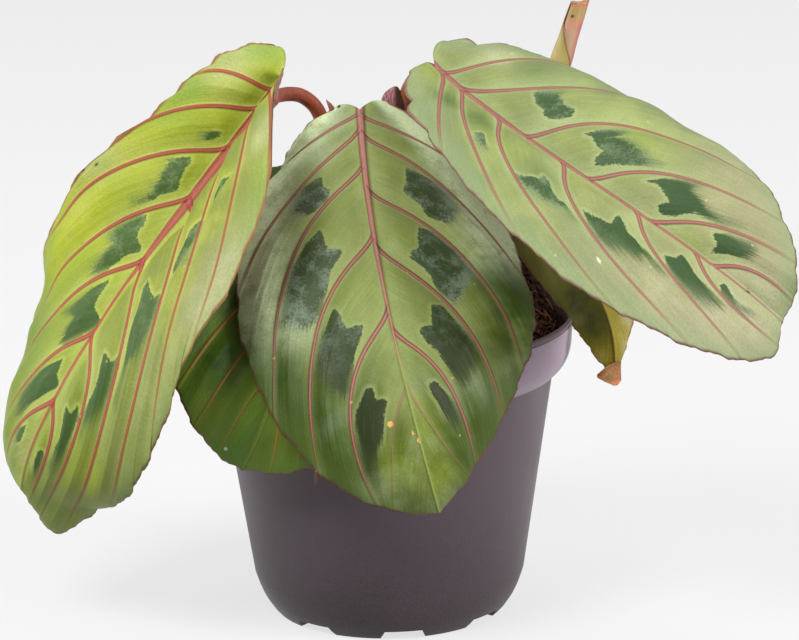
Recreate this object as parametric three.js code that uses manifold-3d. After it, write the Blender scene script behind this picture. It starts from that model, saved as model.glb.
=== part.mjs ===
// Potted prayer plant: a patterned foliage plant in a plain nursery pot.
// Millimetres, +Z up, X to the viewer's right, Y away from the viewer.
// The origin is the centre of the pot's underside.
import * as THREE from 'three';
import { mergeVertices } from 'three/addons/utils/BufferGeometryUtils.js';
import Module from 'manifold-3d';

const wasm = await Module();
wasm.setup();

// Driving dimensions
const POT_HEIGHT = 73;
const RIM_RADIUS = 45.6;
const WALL = 1.1;
const FOOT_RADIUS = 28;
const FOOT_INNER_RADIUS = 24.8;
const FOOT_LIFT = 2.4;
const FLOOR_TOP = 3.5;
const BOSS_RADIUS = 9;
const NOTCH_COUNT = 8;
const NOTCH_OFFSET_DEG = 6.2;
const NOTCH_HALF_WIDTH = 4.9;
const NOTCH_HEIGHT = 2.2;
const DRAIN_RADIUS = 2.5;
const DRAIN_RING = 19;
const POT_SEGMENTS = 64;
const SOIL_TOP = 70;
const SOIL_RADIUS = 43.6;
const SOIL_GAP = 0.4;
const BLADE_HALF = 0.35;
const GAP = 0.3;
const HOLE_GAP = 0.4;
const JOINT_GAP = 0.7;
const MIDRIB_DEPTH = 1.1;
const STEM_FLOOR = 42;
const SEED = 7;

const COLOURS = {
  pot: 0x4b4144,
  soil: 0x3a2a20,
  shoot: 0x96553f,
  leaf: 0x8fae4c,
  dark: 0x5f7f35,
  bronze: 0x7a7a3c,
  rolled: 0xb58f78,
  sheath: 0x7a4a48,
};

// Solids

function cleaned(geometry) {
  geometry.deleteAttribute('normal');
  geometry.deleteAttribute('uv');
  const merged = mergeVertices(geometry, 1e-4);
  const corners = merged.index.array;
  const kept = [];
  for (let i = 0; i < corners.length; i += 3) {
    const a = corners[i];
    const b = corners[i + 1];
    const c = corners[i + 2];
    if (a !== b && b !== c && c !== a) kept.push(a, b, c);
  }
  merged.setIndex(kept);
  return merged;
}

function toSolid(geometry) {
  const shape = cleaned(geometry);
  return new wasm.Manifold(new wasm.Mesh({
    numProp: 3,
    vertProperties: new Float32Array(shape.attributes.position.array),
    triVerts: new Uint32Array(shape.index.array),
  }));
}

function fromSolid(solid) {
  const mesh = solid.getMesh();
  const geometry = new THREE.BufferGeometry();
  geometry.setAttribute('position', new THREE.BufferAttribute(new Float32Array(mesh.vertProperties), 3));
  geometry.setIndex(Array.from(mesh.triVerts));
  return geometry;
}

function upright(geometry) {
  return geometry.rotateX(Math.PI / 2);
}

function lathe(profile, segments) {
  return upright(new THREE.LatheGeometry(profile.map(([r, z]) => new THREE.Vector2(r, z)), segments));
}

function post(x, y, radius, low, high, sides) {
  const rod = upright(new THREE.CylinderGeometry(radius, radius, high - low, sides));
  return rod.translate(x, y, (low + high) / 2);
}

function tube(points, radius, steps, sides = 10, flatten = 1) {
  const path = new THREE.CatmullRomCurve3(points.map((p) => new THREE.Vector3(...p)));
  const ring = new THREE.Shape();
  for (let i = 0; i < sides; i += 1) {
    const angle = (2 * Math.PI * i) / sides;
    const x = radius * Math.cos(angle) * flatten;
    const y = radius * Math.sin(angle);
    if (i === 0) ring.moveTo(x, y);
    else ring.lineTo(x, y);
  }
  ring.closePath();
  return new THREE.ExtrudeGeometry(ring, { steps, bevelEnabled: false, extrudePath: path });
}

// Seeded value noise for the rough soil and the waves of the leaf margins

function randomSource(seed) {
  let state = seed;
  return () => {
    state = (Math.imul(state, 1664525) + 1013904223) >>> 0;
    return state / 4294967296;
  };
}

function noiseField(seed, cells) {
  const random = randomSource(seed);
  const values = Array.from({ length: cells * cells }, () => 2 * random() - 1);
  const at = (i, j) => values[((i % cells) + cells) % cells + cells * (((j % cells) + cells) % cells)];
  const smooth = (t) => t * t * (3 - 2 * t);
  return (x, y) => {
    const i = Math.floor(x);
    const j = Math.floor(y);
    const u = smooth(x - i);
    const v = smooth(y - j);
    const low = at(i, j) * (1 - u) + at(i + 1, j) * u;
    const high = at(i, j + 1) * (1 - u) + at(i + 1, j + 1) * u;
    return low * (1 - v) + high * v;
  };
}

// Pot: rolled collar, tapering wall, raised floor on a notched foot ring with a centre boss

const POT_OUTSIDE = [
  [28.9, 1.0], [30.6, 3.6], [31.9, 6.5], [32.9, 9.5], [40.4, 59.1],
  [41.8, 59.9], [43.6, 62.0], [44.7, 64.8], [45.1, 69], [RIM_RADIUS, POT_HEIGHT],
];
const POT_INSIDE = [
  [RIM_RADIUS - WALL, POT_HEIGHT], [44.0, 69.1], [43.6, 65.2], [42.6, 62.8],
  [41.1, 61.0], [39.4, 60.0], [31.8, 9.8], [30.8, 7.0], [29.5, 4.9], [28, FLOOR_TOP],
];

function makePot() {
  const profile = [
    [0, 0], [BOSS_RADIUS, 0], [BOSS_RADIUS + 0.8, FOOT_LIFT], [FOOT_INNER_RADIUS - 0.8, FOOT_LIFT],
    [FOOT_INNER_RADIUS, 0], [FOOT_RADIUS, 0], ...POT_OUTSIDE, ...POT_INSIDE, [0, FLOOR_TOP],
  ];
  let pot = toSolid(lathe(profile, POT_SEGMENTS));
  const notch = new THREE.Shape();
  notch.moveTo(-NOTCH_HALF_WIDTH - 0.9, -1);
  notch.lineTo(NOTCH_HALF_WIDTH + 0.9, -1);
  notch.lineTo(NOTCH_HALF_WIDTH - 0.4, NOTCH_HEIGHT);
  notch.lineTo(-NOTCH_HALF_WIDTH + 0.4, NOTCH_HEIGHT);
  notch.closePath();
  for (let i = 0; i < NOTCH_COUNT; i += 1) {
    const turn = THREE.MathUtils.degToRad(NOTCH_OFFSET_DEG + (i * 360) / NOTCH_COUNT);
    const cutter = upright(new THREE.ExtrudeGeometry(notch, { depth: 8, bevelEnabled: false }));
    cutter.translate(0, -FOOT_INNER_RADIUS + 1.2, 0);
    cutter.rotateZ(turn);
    pot = pot.subtract(toSolid(cutter));
    const drain = post(0, -DRAIN_RING, DRAIN_RADIUS, 1, FLOOR_TOP + 1, 16);
    drain.rotateZ(turn);
    pot = pot.subtract(toSolid(drain));
  }
  return pot;
}

// Stems standing in the soil: [x, y, hole radius]

const STEM_RADIUS = 2.6;
const ROLLED_STEM_RADIUS = 2.1;
const LEFT_FOOT = [-9, 7];
const RIGHT_FOOT = [8, 7];
const ROLLED_FOOT = [22, 19];

function soilHeight(x, y, field) {
  const heap = 5.5 * Math.exp(-(((x - 31) / 13) ** 2 + ((y - 20) / 13) ** 2));
  const rim = Math.min(1, (SOIL_RADIUS - Math.hypot(x, y)) / 5);
  const rough = 1.3 * field(x / 7 + 40, y / 7 + 40) + 0.8 * field(x / 3 + 9, y / 3 + 9);
  return SOIL_TOP + (heap + rough) * (0.35 + 0.65 * rim);
}

function makeSoil() {
  const wall = POT_INSIDE.slice(1).reverse().map(([r, z]) => [r - SOIL_GAP, z]);
  wall[0] = [wall[0][0], FLOOR_TOP + SOIL_GAP];
  const top = [40, 36.5, 33, 29.5, 26, 22, 18, 13.5, 9, 4.5].map((r) => [r, SOIL_TOP]);
  const profile = [[0, FLOOR_TOP + SOIL_GAP], ...wall, [SOIL_RADIUS, SOIL_TOP], ...top, [0, SOIL_TOP]];
  const shape = lathe(profile, 44);
  const field = noiseField(SEED, 32);
  const spots = shape.attributes.position;
  for (let i = 0; i < spots.count; i += 1) {
    if (spots.getZ(i) > SOIL_TOP - 0.01) spots.setZ(i, soilHeight(spots.getX(i), spots.getY(i), field));
  }
  let soil = toSolid(shape);
  const holes = [[...LEFT_FOOT, STEM_RADIUS], [...RIGHT_FOOT, STEM_RADIUS], [...ROLLED_FOOT, ROLLED_STEM_RADIUS]];
  for (const [x, y, radius] of holes) {
    soil = soil.subtract(toSolid(post(x, y, radius + HOLE_GAP, STEM_FLOOR, 95, 16)));
  }
  return soil;
}

// Leaf blades. Half of the flat outline, across and along, of a blade 118 long

const OUTLINE = [
  [9, -4], [20, 1], [29, 12], [34.5, 27], [37, 45], [36, 63], [31, 81], [21.5, 98], [9.5, 111], [0, 118],
];
const OUTLINE_LENGTH = 118;
const WIDTH_STATIONS = [0, 0.2, 0.45, 0.7, 0.9];
const BEND_STATIONS = [0, 0.33, 0.67, 1];
const TWIST_STATIONS = [0, 0.5, 1];
const ROW_RISE = 1.25;
const ROW_LEAD = 1.3;
const HEEL_PART = 0.2;
const FIRST_COLUMN = 1.3;
const CURL_SPAN = 38;
const FOLD_BLEND = 1.6;

// Each blade hangs along a cubic rib. A half's rise and curl, in degrees, bend it about the rib,
// its width scales the outline, its heel the lobe beside the stalk and its lobe the tip beside the rib.
// The rows of the surface run slantwise from the rib out to the margin, as the side veins do,
// with their points at these shares of the way.

const COLUMNS = [0.06, 0.2, 0.38, 0.56, 0.73, 0.87, 1];
const SHORT_COLUMNS = [0.12, 0.35, 0.6, 0.82, 1];

const LEAF_FRONT = {
  rib: [[-5, -4, 124], [-4, -31, 101], [3, -74, 82], [12, -52, 39]],
  side: [0.98, 0.05, 0.17],
  twist: [-4, 3, -8],
  left: { rise: [-14, 1, 5, 13], curl: [16, 17, 26, 32], width: [0.72, 0.87, 0.94, 1.03, 1.15], lobe: 0.3, heel: 0.6 },
  right: { rise: [-20, -22, -18, -11], curl: [23, 22, 20, 13], width: [0.81, 0.98, 1.04, 1.06, 1.07], lobe: -0.9, heel: 0.9 },
  waves: { left: [0.7, 4.5, 0.4], right: [0.4, 3.5, 2.0] },
  counts: [26, COLUMNS],
};

const LEAF_LEFT = {
  rib: [[-24, -5, 131], [-42, -27, 112], [-82, -49, 68], [-87, -25, 38]],
  side: [0.83, -0.15, -0.53],
  twist: [31, 49, 28],
  left: { rise: [61, 40, 9, -8], curl: [7, 20, 55, 88], width: [0.68, 0.56, 0.78, 1.02, 1.12], lobe: 4.1, heel: 1.6 },
  right: { rise: [72, 36, 5, -21], curl: [38, 41, 30, 40], width: [0.4, 0.94, 1.04, 1.05, 1.08], lobe: 20.5, heel: 0.2 },
  waves: { left: [0.9, 6, 0.3], right: [0.6, 4, 1.0] },
  counts: [26, COLUMNS],
};

const LEAF_RIGHT = {
  rib: [[13, -5, 134], [32, -29, 120], [65, -59, 109], [91, -51, 83]],
  side: [0.62, 0.21, 0.76],
  twist: [-41, -34, -25],
  left: { rise: [32, 29, 17, 11], curl: [30, 24, 20, 20], width: [0.46, 0.74, 0.85, 0.93, 0.98], lobe: 7.3, heel: 0.3 },
  right: { rise: [30, 33, 30, 27], curl: [89, 88, 83, 76], width: [0.7, 0.9, 1.02, 1.08, 1.1], lobe: 2.3, heel: 1.4 },
  waves: { left: [0.4, 4, 0.9], right: [0.5, 4.5, 2.4] },
  counts: [26, COLUMNS],
};

const LEAF_BACK_LEFT = {
  rib: [[-17, -4, 108], [-21, -22, 89], [-20, -58, 75.8], [-34, -39, 46.3]],
  side: [0.97, -0.06, -0.23],
  twist: [-2, -9, -8],
  left: { rise: [-8, -3, 7, 8], curl: [43, 40, 37, 34], width: [0.85, 0.87, 0.89, 0.91, 0.91], lobe: 1, heel: 0.8 },
  right: { rise: [-4, 26, 31, 18], curl: [24, 12, 4, 6], width: [0.8, 0.7, 0.66, 0.74, 0.82], lobe: 0, heel: 0.8 },
  waves: { left: [0.5, 4, 1.7], right: [0.3, 4, 0.2] },
  counts: [24, COLUMNS],
};

const LEAF_BACK_RIGHT = {
  rib: [[31, 10, 94], [44, -8, 89], [57, -21, 82], [54, -17, 58.6]],
  side: [0.83, 0.15, 0.53],
  twist: [31, 24, 13],
  left: { rise: [-26, -12, -8, -6], curl: [20, 14, 12, 12], width: [0.34, 0.3, 0.29, 0.3, 0.33], lobe: -1.9, heel: 1 },
  right: { rise: [-45, -35, -40, -55], curl: [20, 10, 10, 20], width: [0.36, 0.3, 0.26, 0.22, 0.22], lobe: -1.8, heel: 1 },
  waves: { left: [0.3, 3, 0.5], right: [0.2, 3, 0.5] },
  counts: [16, SHORT_COLUMNS],
};

function lerp(xs, ys, x) {
  if (x <= xs[0]) return ys[0];
  const i = xs.findIndex((edge) => edge >= x);
  if (i < 0) return ys[ys.length - 1];
  return ys[i - 1] + ((ys[i] - ys[i - 1]) * (x - xs[i - 1])) / (xs[i] - xs[i - 1]);
}

function eased(xs, ys, x) {
  const last = xs.length - 1;
  const slope = (i) => {
    const a = Math.max(i - 1, 0);
    const b = Math.min(i + 1, last);
    return (ys[b] - ys[a]) / (xs[b] - xs[a]);
  };
  const at = Math.min(Math.max(x, xs[0]), xs[last]);
  let i = 0;
  while (i < last - 1 && at >= xs[i + 1]) i += 1;
  const span = xs[i + 1] - xs[i];
  const t = (at - xs[i]) / span;
  const rise = ys[i] * (1 + 2 * t) * (1 - t) ** 2 + ys[i + 1] * t * t * (3 - 2 * t);
  return rise + slope(i) * span * t * (1 - t) ** 2 + slope(i + 1) * span * t * t * (t - 1);
}

function flowing(points, steps) {
  const first = points[0].map((v, k) => 2 * v - points[1][k]);
  const end = points[points.length - 1];
  const last = end.map((v, k) => 2 * v - points[points.length - 2][k]);
  const all = [first, ...points, last];
  const line = [];
  for (let i = 1; i < all.length - 2; i += 1) {
    for (let s = 0; s < steps; s += 1) {
      const t = s / steps;
      line.push(all[i].map((b, k) => {
        const a = all[i - 1][k];
        const c = all[i + 1][k];
        const d = all[i + 2][k];
        return 0.5 * (2 * b + (c - a) * t + (2 * a - 5 * b + 4 * c - d) * t * t + (3 * b - a - 3 * c + d) * t ** 3);
      }));
    }
  }
  line.push(end);
  return line;
}

class Blade {
  constructor(spec) {
    this.spec = spec;
    this.curve = new THREE.CubicBezierCurve3(...spec.rib.map((p) => new THREE.Vector3(...p)));
    this.curve.arcLengthDivisions = 160;
    this.length = this.curve.getLength();
    this.chord = new THREE.Vector3().subVectors(this.curve.v3, this.curve.v0).normalize();
    this.sides = { left: this.outline(spec.left), right: this.outline(spec.right) };
  }

  outline({ width, lobe, heel }) {
    const scale = this.length / OUTLINE_LENGTH;
    const half = OUTLINE.map(([x, y]) => [x * eased(WIDTH_STATIONS, width, y / OUTLINE_LENGTH), y * scale]);
    half[0][1] *= heel;
    const longer = half.map(([x, y], i) => [x, y + lobe * lerp([81, 98, 111, 118], [0, 0.6, 1, 0], OUTLINE[i][1])]);
    const margin = flowing(longer, 8);
    const along = [0];
    for (let i = 1; i < margin.length; i += 1) {
      along.push(along[i - 1] + Math.hypot(margin[i][0] - margin[i - 1][0], margin[i][1] - margin[i - 1][1]));
    }
    const widest = Math.max(...margin.map((p) => p[0]));
    return { margin, widest, along: along.map((v) => v / along[along.length - 1]) };
  }

  marginAt(side, e) {
    const { margin, along } = this.sides[side];
    return [lerp(along, margin.map((p) => p[0]), e), lerp(along, margin.map((p) => p[1]), e)];
  }

  // A point of the flat blade: t runs from base to tip, f from the rib to the margin
  flat(side, t, f) {
    const heel = this.marginAt(side, 0);
    const end = this.marginAt(side, 1 - (1 - t) ** ROW_LEAD);
    const start = this.length * t ** ROW_RISE;
    const round = Math.max(1 - t / HEEL_PART, 0);
    const middleX = 0.45 * heel[0] * round + 0.5 * end[0] * (1 - round);
    const middleY = (heel[1] - 1) * round + 0.5 * (start + end[1]) * (1 - round);
    const x = 2 * middleX * f * (1 - f) + end[0] * f * f;
    const y = start * (1 - f) ** 2 + 2 * middleY * f * (1 - f) + end[1] * f * f;
    return [side === 'left' ? -x : x, y];
  }

  // The rib's point at a distance along it, with its tangent, its side and the sheet's upward normal
  frame(y) {
    const along = Math.min(Math.max(y / this.length, 0), 1);
    const u = this.curve.getUtoTmapping(along);
    const tangent = this.curve.getTangent(u);
    const spot = this.curve.getPoint(u).addScaledVector(tangent, y - along * this.length);
    const turn = THREE.MathUtils.degToRad(eased(TWIST_STATIONS, this.spec.twist, along));
    const across = new THREE.Vector3(...this.spec.side).applyAxisAngle(this.chord, turn);
    across.addScaledVector(tangent, -across.dot(tangent)).normalize();
    const normal = new THREE.Vector3().crossVectors(tangent, across);
    return { along, spot, across, normal };
  }

  // The flat point's place on the hanging blade, raised from the sheet by lift
  place(side, [x, y], lift) {
    const { along, spot, across, normal } = this.frame(y);
    const half = this.spec[side];
    const rise = THREE.MathUtils.degToRad(eased(BEND_STATIONS, half.rise, along));
    const curl = THREE.MathUtils.degToRad(eased(BEND_STATIONS, half.curl, along)) / CURL_SPAN;
    const sign = side === 'left' ? -1 : 1;
    const angle = rise - curl * Math.abs(x);
    const out = (Math.sin(rise) - Math.sin(angle)) / curl;
    const up = (Math.cos(angle) - Math.cos(rise)) / curl;
    spot.addScaledVector(across, sign * out).addScaledVector(normal, up);
    const lean = angle * Math.min(Math.abs(x) / FOLD_BLEND, 1);
    const thick = lift / Math.max(Math.cos(angle - lean), 0.45);
    spot.addScaledVector(normal, Math.cos(lean) * thick);
    return spot.addScaledVector(across, -sign * Math.sin(lean) * thick);
  }

  // A point over or under the rib, where the two halves meet at an angle
  crest(y, lift) {
    const { along, spot, normal } = this.frame(y);
    const fold = eased(BEND_STATIONS, this.spec.left.rise, along) + eased(BEND_STATIONS, this.spec.right.rise, along);
    return spot.addScaledVector(normal, lift / Math.max(Math.cos(THREE.MathUtils.degToRad(fold / 2)), 0.45));
  }

  wave(side, [x, y]) {
    const [height, count, phase] = this.spec.waves[side];
    const along = Math.min(Math.max(y / this.length, 0), 1);
    const grow = (Math.abs(x) / this.sides[side].widest) ** 3 * Math.sin(Math.PI * along);
    return height * grow * Math.sin(2 * Math.PI * count * along + phase);
  }

  // The closed blade: two faces split alike, a wall round the margin, the midrib under the rib.
  // Extra thickens and widens it into a cutter.
  solid(rows, columns, extra = 0) {
    const across = columns.length;
    const upper = [];
    const lower = [];
    const put = (side, t, f) => {
      const wide = Math.abs(this.flat(side, t, 1)[0]);
      const share = f < 1 ? Math.max(f, Math.min(FIRST_COLUMN / wide, 0.35) * (1 + f)) : 1;
      const point = this.flat(side, t, share);
      const wave = this.wave(side, point);
      if (extra > 0 && f === 1) point[0] += side === 'left' ? -extra : extra;
      if (extra > 0 && t === 0) point[1] -= extra;
      upper.push(this.place(side, point, wave + BLADE_HALF + extra));
      lower.push(this.place(side, point, wave - BLADE_HALF - extra));
    };
    const putRib = (t) => {
      const y = this.flat('right', t, 0)[1] - (t === 0 ? extra : 0);
      const depth = MIDRIB_DEPTH * (1 - 0.75 * t) * Math.min(y / 6, 1) * (t < 1 ? 1 : 0);
      upper.push(this.crest(y, BLADE_HALF + extra));
      lower.push(this.crest(y, -BLADE_HALF - extra).addScaledVector(this.frame(y).normal, -Math.max(depth, 0)));
    };
    for (let i = 0; i < rows; i += 1) {
      const t = i / rows;
      putRib(t);
      for (const side of ['left', 'right']) for (const f of columns) put(side, t, f);
    }
    putRib(1);
    const tip = rows * (2 * across + 1);
    const id = (side, i, j) => {
      if (i === rows) return tip;
      const row = i * (2 * across + 1);
      if (j === 0) return row;
      return row + (side === 'left' ? 0 : across) + j;
    };
    const faces = [];
    for (let i = 0; i < rows; i += 1) {
      for (let j = 0; j < across; j += 1) {
        for (const side of ['left', 'right']) {
          const near = id(side, i, j);
          const far = id(side, i, j + 1);
          const nearNext = id(side, i + 1, j);
          const farNext = id(side, i + 1, j + 1);
          const pair = [[near, nearNext, far], [far, nearNext, farNext]];
          for (const [a, b, c] of pair) {
            if (b !== c && a !== b && a !== c) faces.push(side === 'right' ? [a, b, c] : [a, c, b]);
          }
        }
      }
    }
    const total = upper.length;
    const edges = new Set();
    for (const [a, b, c] of faces) for (const [p, q] of [[a, b], [b, c], [c, a]]) edges.add(p * total + q);
    const index = [];
    for (const [a, b, c] of faces) index.push(a, b, c, total + a, total + c, total + b);
    for (const edge of edges) {
      const a = Math.floor(edge / total);
      const b = edge % total;
      if (!edges.has(b * total + a)) index.push(b, a, total + a, b, total + a, total + b);
    }
    const geometry = new THREE.BufferGeometry();
    const positions = [...upper, ...lower].flatMap((p) => [p.x, p.y, p.z]);
    geometry.setAttribute('position', new THREE.Float32BufferAttribute(positions, 3));
    geometry.setIndex(index);
    return toSolid(geometry);
  }

  cutter() {
    return this.solid(this.spec.counts[0], this.spec.counts[1], JOINT_GAP);
  }

  whole() {
    return this.solid(this.spec.counts[0], this.spec.counts[1]);
  }

  // Points that lead a leaf stalk in under the blade's base
  root() {
    return [this.crest(-3.5, 0), this.crest(1, 0)].map((p, i) => p.addScaledVector(this.frame(0).normal, i ? -1.75 : -2.6));
  }
}

const front = new Blade(LEAF_FRONT);
const left = new Blade(LEAF_LEFT);
const right = new Blade(LEAF_RIGHT);
const backLeft = new Blade(LEAF_BACK_LEFT);
const backRight = new Blade(LEAF_BACK_RIGHT);

// Rolled young leaf: a scroll of blade round its own axis, cut slantwise at the top

const ROLLED_AXIS = [[37.2, 17, 110], [41, 16.5, 122], [44.3, 16, 133], [48.5, 16, 146.2]];
const ROLLED_RADII = [[0, 2.0], [0.12, 2.5], [0.4, 2.75], [0.62, 2.75], [0.75, 2.35], [1, 2.05]];
const ROLLED_TURNS = 18;
const ROLLED_RINGS = 14;
const ROLLED_STEP = 0.24;

function makeRolled() {
  const axis = new THREE.CatmullRomCurve3(ROLLED_AXIS.map((p) => new THREE.Vector3(...p)));
  const along = axis.getPoint(1).sub(axis.getPoint(0)).normalize();
  const right = new THREE.Vector3(1, 0, 0).addScaledVector(along, -along.x).normalize();
  const back = new THREE.Vector3().crossVectors(along, right);
  const points = [];
  const ring = (s, slant) => {
    const centre = axis.getPoint(s);
    const radius = lerp(ROLLED_RADII.map((p) => p[0]), ROLLED_RADII.map((p) => p[1]), s);
    const seam = 250 + 30 * s;
    for (let i = 0; i < ROLLED_TURNS; i += 1) {
      const part = i / (ROLLED_TURNS - 1);
      const angle = THREE.MathUtils.degToRad(seam + 358 * part);
      const reach = radius * (1 + ROLLED_STEP * (0.5 - part));
      const point = centre.clone();
      point.addScaledVector(right, reach * Math.cos(angle));
      point.addScaledVector(back, 0.85 * reach * Math.sin(angle));
      points.push(point.addScaledVector(along, slant * Math.cos(angle)));
    }
  };
  for (let i = 0; i <= ROLLED_RINGS; i += 1) {
    const s = i / ROLLED_RINGS;
    ring(s, 1.1 * s ** 6);
  }
  const index = [];
  for (let i = 0; i < ROLLED_RINGS; i += 1) {
    for (let j = 0; j < ROLLED_TURNS; j += 1) {
      const a = i * ROLLED_TURNS + j;
      const b = i * ROLLED_TURNS + ((j + 1) % ROLLED_TURNS);
      index.push(a, b, b + ROLLED_TURNS, a, b + ROLLED_TURNS, a + ROLLED_TURNS);
    }
  }
  for (const [row, flip] of [[0, true], [ROLLED_RINGS, false]]) {
    const centre = points.length;
    const middle = new THREE.Vector3();
    for (let j = 0; j < ROLLED_TURNS; j += 1) middle.addScaledVector(points[row * ROLLED_TURNS + j], 1 / ROLLED_TURNS);
    points.push(middle);
    for (let j = 0; j < ROLLED_TURNS; j += 1) {
      const a = row * ROLLED_TURNS + j;
      const b = row * ROLLED_TURNS + ((j + 1) % ROLLED_TURNS);
      index.push(...(flip ? [centre, b, a] : [centre, a, b]));
    }
  }
  const geometry = new THREE.BufferGeometry();
  geometry.setAttribute('position', new THREE.Float32BufferAttribute(points.flatMap((p) => [p.x, p.y, p.z]), 3));
  geometry.setIndex(index);
  return toSolid(geometry);
}

// Shoots: upright stems with their leaf stalks

function joined(geometries) {
  return geometries.map(toSolid).reduce((all, next) => all.add(next));
}

const spots = (blade) => blade.root().map((p) => [p.x, p.y, p.z]);

function makeLeftShoot() {
  const [x, y] = LEFT_FOOT;
  const stalks = joined([
    tube([[x, y, STEM_FLOOR + GAP], [x, y, 72], [x - 0.5, y, 84], [x - 1.5, y, 93]], STEM_RADIUS, 8, 12),
    tube([[x - 1.4, y, 88], [-12, 6.8, 103], [-13.6, 6.5, 115.5], [-15.2, 6.1, 121.8], [-18.4, 4.3, 125.6], [-22, 0.9, 126.8], ...spots(left)], 1.75, 24),
    tube([[x - 1, y, 88], [-7.5, 7, 104], [-6, 5.5, 115], ...spots(front)], 1.7, 14),
    tube([[x - 1.2, y, 86], [-12, 6, 96], [-14.5, 3, 103.5], ...spots(backLeft)], 1.5, 12),
  ]);
  return stalks;
}

function makeRightShoot() {
  const [x, y] = RIGHT_FOOT;
  const stalks = joined([
    tube([[x, y, STEM_FLOOR + GAP], [x, y, 72], [x - 0.4, y, 82], [x - 1.2, y, 92]], STEM_RADIUS, 8, 12),
    tube([[x - 1, y, 86], [6.2, 6.8, 103], [5.5, 6, 117], [5.8, 4.2, 125], [7.8, 0.8, 130.2], ...spots(right)], 1.6, 20),
    tube([[x, y, 74], [11.5, 8.5, 82], [18, 9.5, 88], [24.5, 10.8, 92.3], ...spots(backRight)], 1.4, 14),
  ]);
  return stalks;
}

function makeRolledShoot() {
  const [x, y] = ROLLED_FOOT;
  return toSolid(tube([[x, y, STEM_FLOOR + GAP], [x, y, 64], [x + 0.2, y, 79], [28.8, 18, 92], [36.9, 17.05, 109.2]], ROLLED_STEM_RADIUS - 0.2, 14));
}

// Dry papery sheath that leans off the right stalk

const SHEATH_CORNERS = [
  [3.7, 2.6, 128.1], [1.4, 2.4, 127.1], [0.1, 2.2, 125], [-0.4, 2, 120], [0.6, 2, 112], [3.2, 3, 108], [3.2, 3, 119],
];

function makeSheath() {
  const rows = SHEATH_CORNERS.map((p) => new THREE.Vector3(...p));
  const middle = rows.reduce((sum, p) => sum.addScaledVector(p, 1 / rows.length), new THREE.Vector3());
  const thick = new THREE.Vector3(0, 0.35, 0);
  const front = [...rows, middle].map((p) => p.clone().sub(thick));
  front[rows.length].y -= 0.5;
  const behind = [...rows, middle].map((p) => p.clone().add(thick));
  behind[rows.length].y -= 0.5;
  const count = rows.length;
  const index = [];
  for (let i = 0; i < count; i += 1) {
    const j = (i + 1) % count;
    index.push(count, i, j);
    index.push(count + 1 + count, count + 1 + j, count + 1 + i);
    index.push(j, i, count + 1 + i, j, count + 1 + i, count + 1 + j);
  }
  const geometry = new THREE.BufferGeometry();
  geometry.setAttribute('position', new THREE.Float32BufferAttribute([...front, ...behind].flatMap((p) => [p.x, p.y, p.z]), 3));
  geometry.setIndex(index);
  return toSolid(geometry);
}

// Assembly

const plant = new THREE.Group();
plant.name = 'potted_prayer_plant';

function addPart(name, solid, colour) {
  const material = new THREE.MeshStandardMaterial({ color: colour, roughness: 0.6, name: `${name}_material` });
  const mesh = new THREE.Mesh(fromSolid(solid), material);
  mesh.name = name;
  plant.add(mesh);
}

let leftShoot = makeLeftShoot();
for (const blade of [left, front, backLeft]) leftShoot = leftShoot.subtract(blade.cutter());
let rightShoot = makeRightShoot();
for (const blade of [right, backRight]) rightShoot = rightShoot.subtract(blade.cutter());

addPart('pot', makePot(), COLOURS.pot);
addPart('soil', makeSoil(), COLOURS.soil);
addPart('shoot_left', leftShoot, COLOURS.shoot);
addPart('shoot_right', rightShoot, COLOURS.shoot);
addPart('shoot_rolled', makeRolledShoot(), COLOURS.shoot);
addPart('leaf_front', front.whole(), COLOURS.leaf);
addPart('leaf_left', left.whole(), COLOURS.leaf);
addPart('leaf_right', right.whole(), COLOURS.leaf);
addPart('leaf_back_left', backLeft.whole(), COLOURS.dark);
addPart('leaf_back_right', backRight.whole(), COLOURS.bronze);
addPart('leaf_rolled', makeRolled(), COLOURS.rolled);
addPart('dry_sheath', makeSheath(), COLOURS.sheath);

export default plant;
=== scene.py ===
# Potted prayer plant: the surfaces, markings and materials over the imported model.
# Metres; +Z up, X to the viewer's right, Y away from the viewer. Leaf data are in millimetres.
import math
import random
from types import SimpleNamespace

import bmesh
import bpy
import numpy as np
from mathutils import Matrix, Vector


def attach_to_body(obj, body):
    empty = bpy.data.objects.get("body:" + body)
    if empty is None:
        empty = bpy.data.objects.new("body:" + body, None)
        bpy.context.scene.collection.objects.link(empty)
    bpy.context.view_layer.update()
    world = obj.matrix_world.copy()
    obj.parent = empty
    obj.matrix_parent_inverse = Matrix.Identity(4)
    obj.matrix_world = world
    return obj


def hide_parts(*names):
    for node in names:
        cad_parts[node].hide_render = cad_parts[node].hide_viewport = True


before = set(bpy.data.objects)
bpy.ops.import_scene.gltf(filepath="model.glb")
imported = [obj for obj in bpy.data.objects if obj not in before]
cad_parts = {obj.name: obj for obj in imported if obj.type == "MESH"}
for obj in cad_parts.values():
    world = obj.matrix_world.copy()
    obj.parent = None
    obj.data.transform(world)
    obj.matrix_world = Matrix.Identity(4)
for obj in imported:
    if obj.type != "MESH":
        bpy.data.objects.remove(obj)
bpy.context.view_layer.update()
MM = 0.001
TURN = 2 * math.pi


def linear(rgb):
    """An sRGB colour of three numbers up to 255, as linear light."""
    lit = [v / 255 for v in rgb]
    return (*[v / 12.92 if v <= 0.04045 else ((v + 0.055) / 1.055) ** 2.4 for v in lit], 1.0)


# Shader graphs


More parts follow.
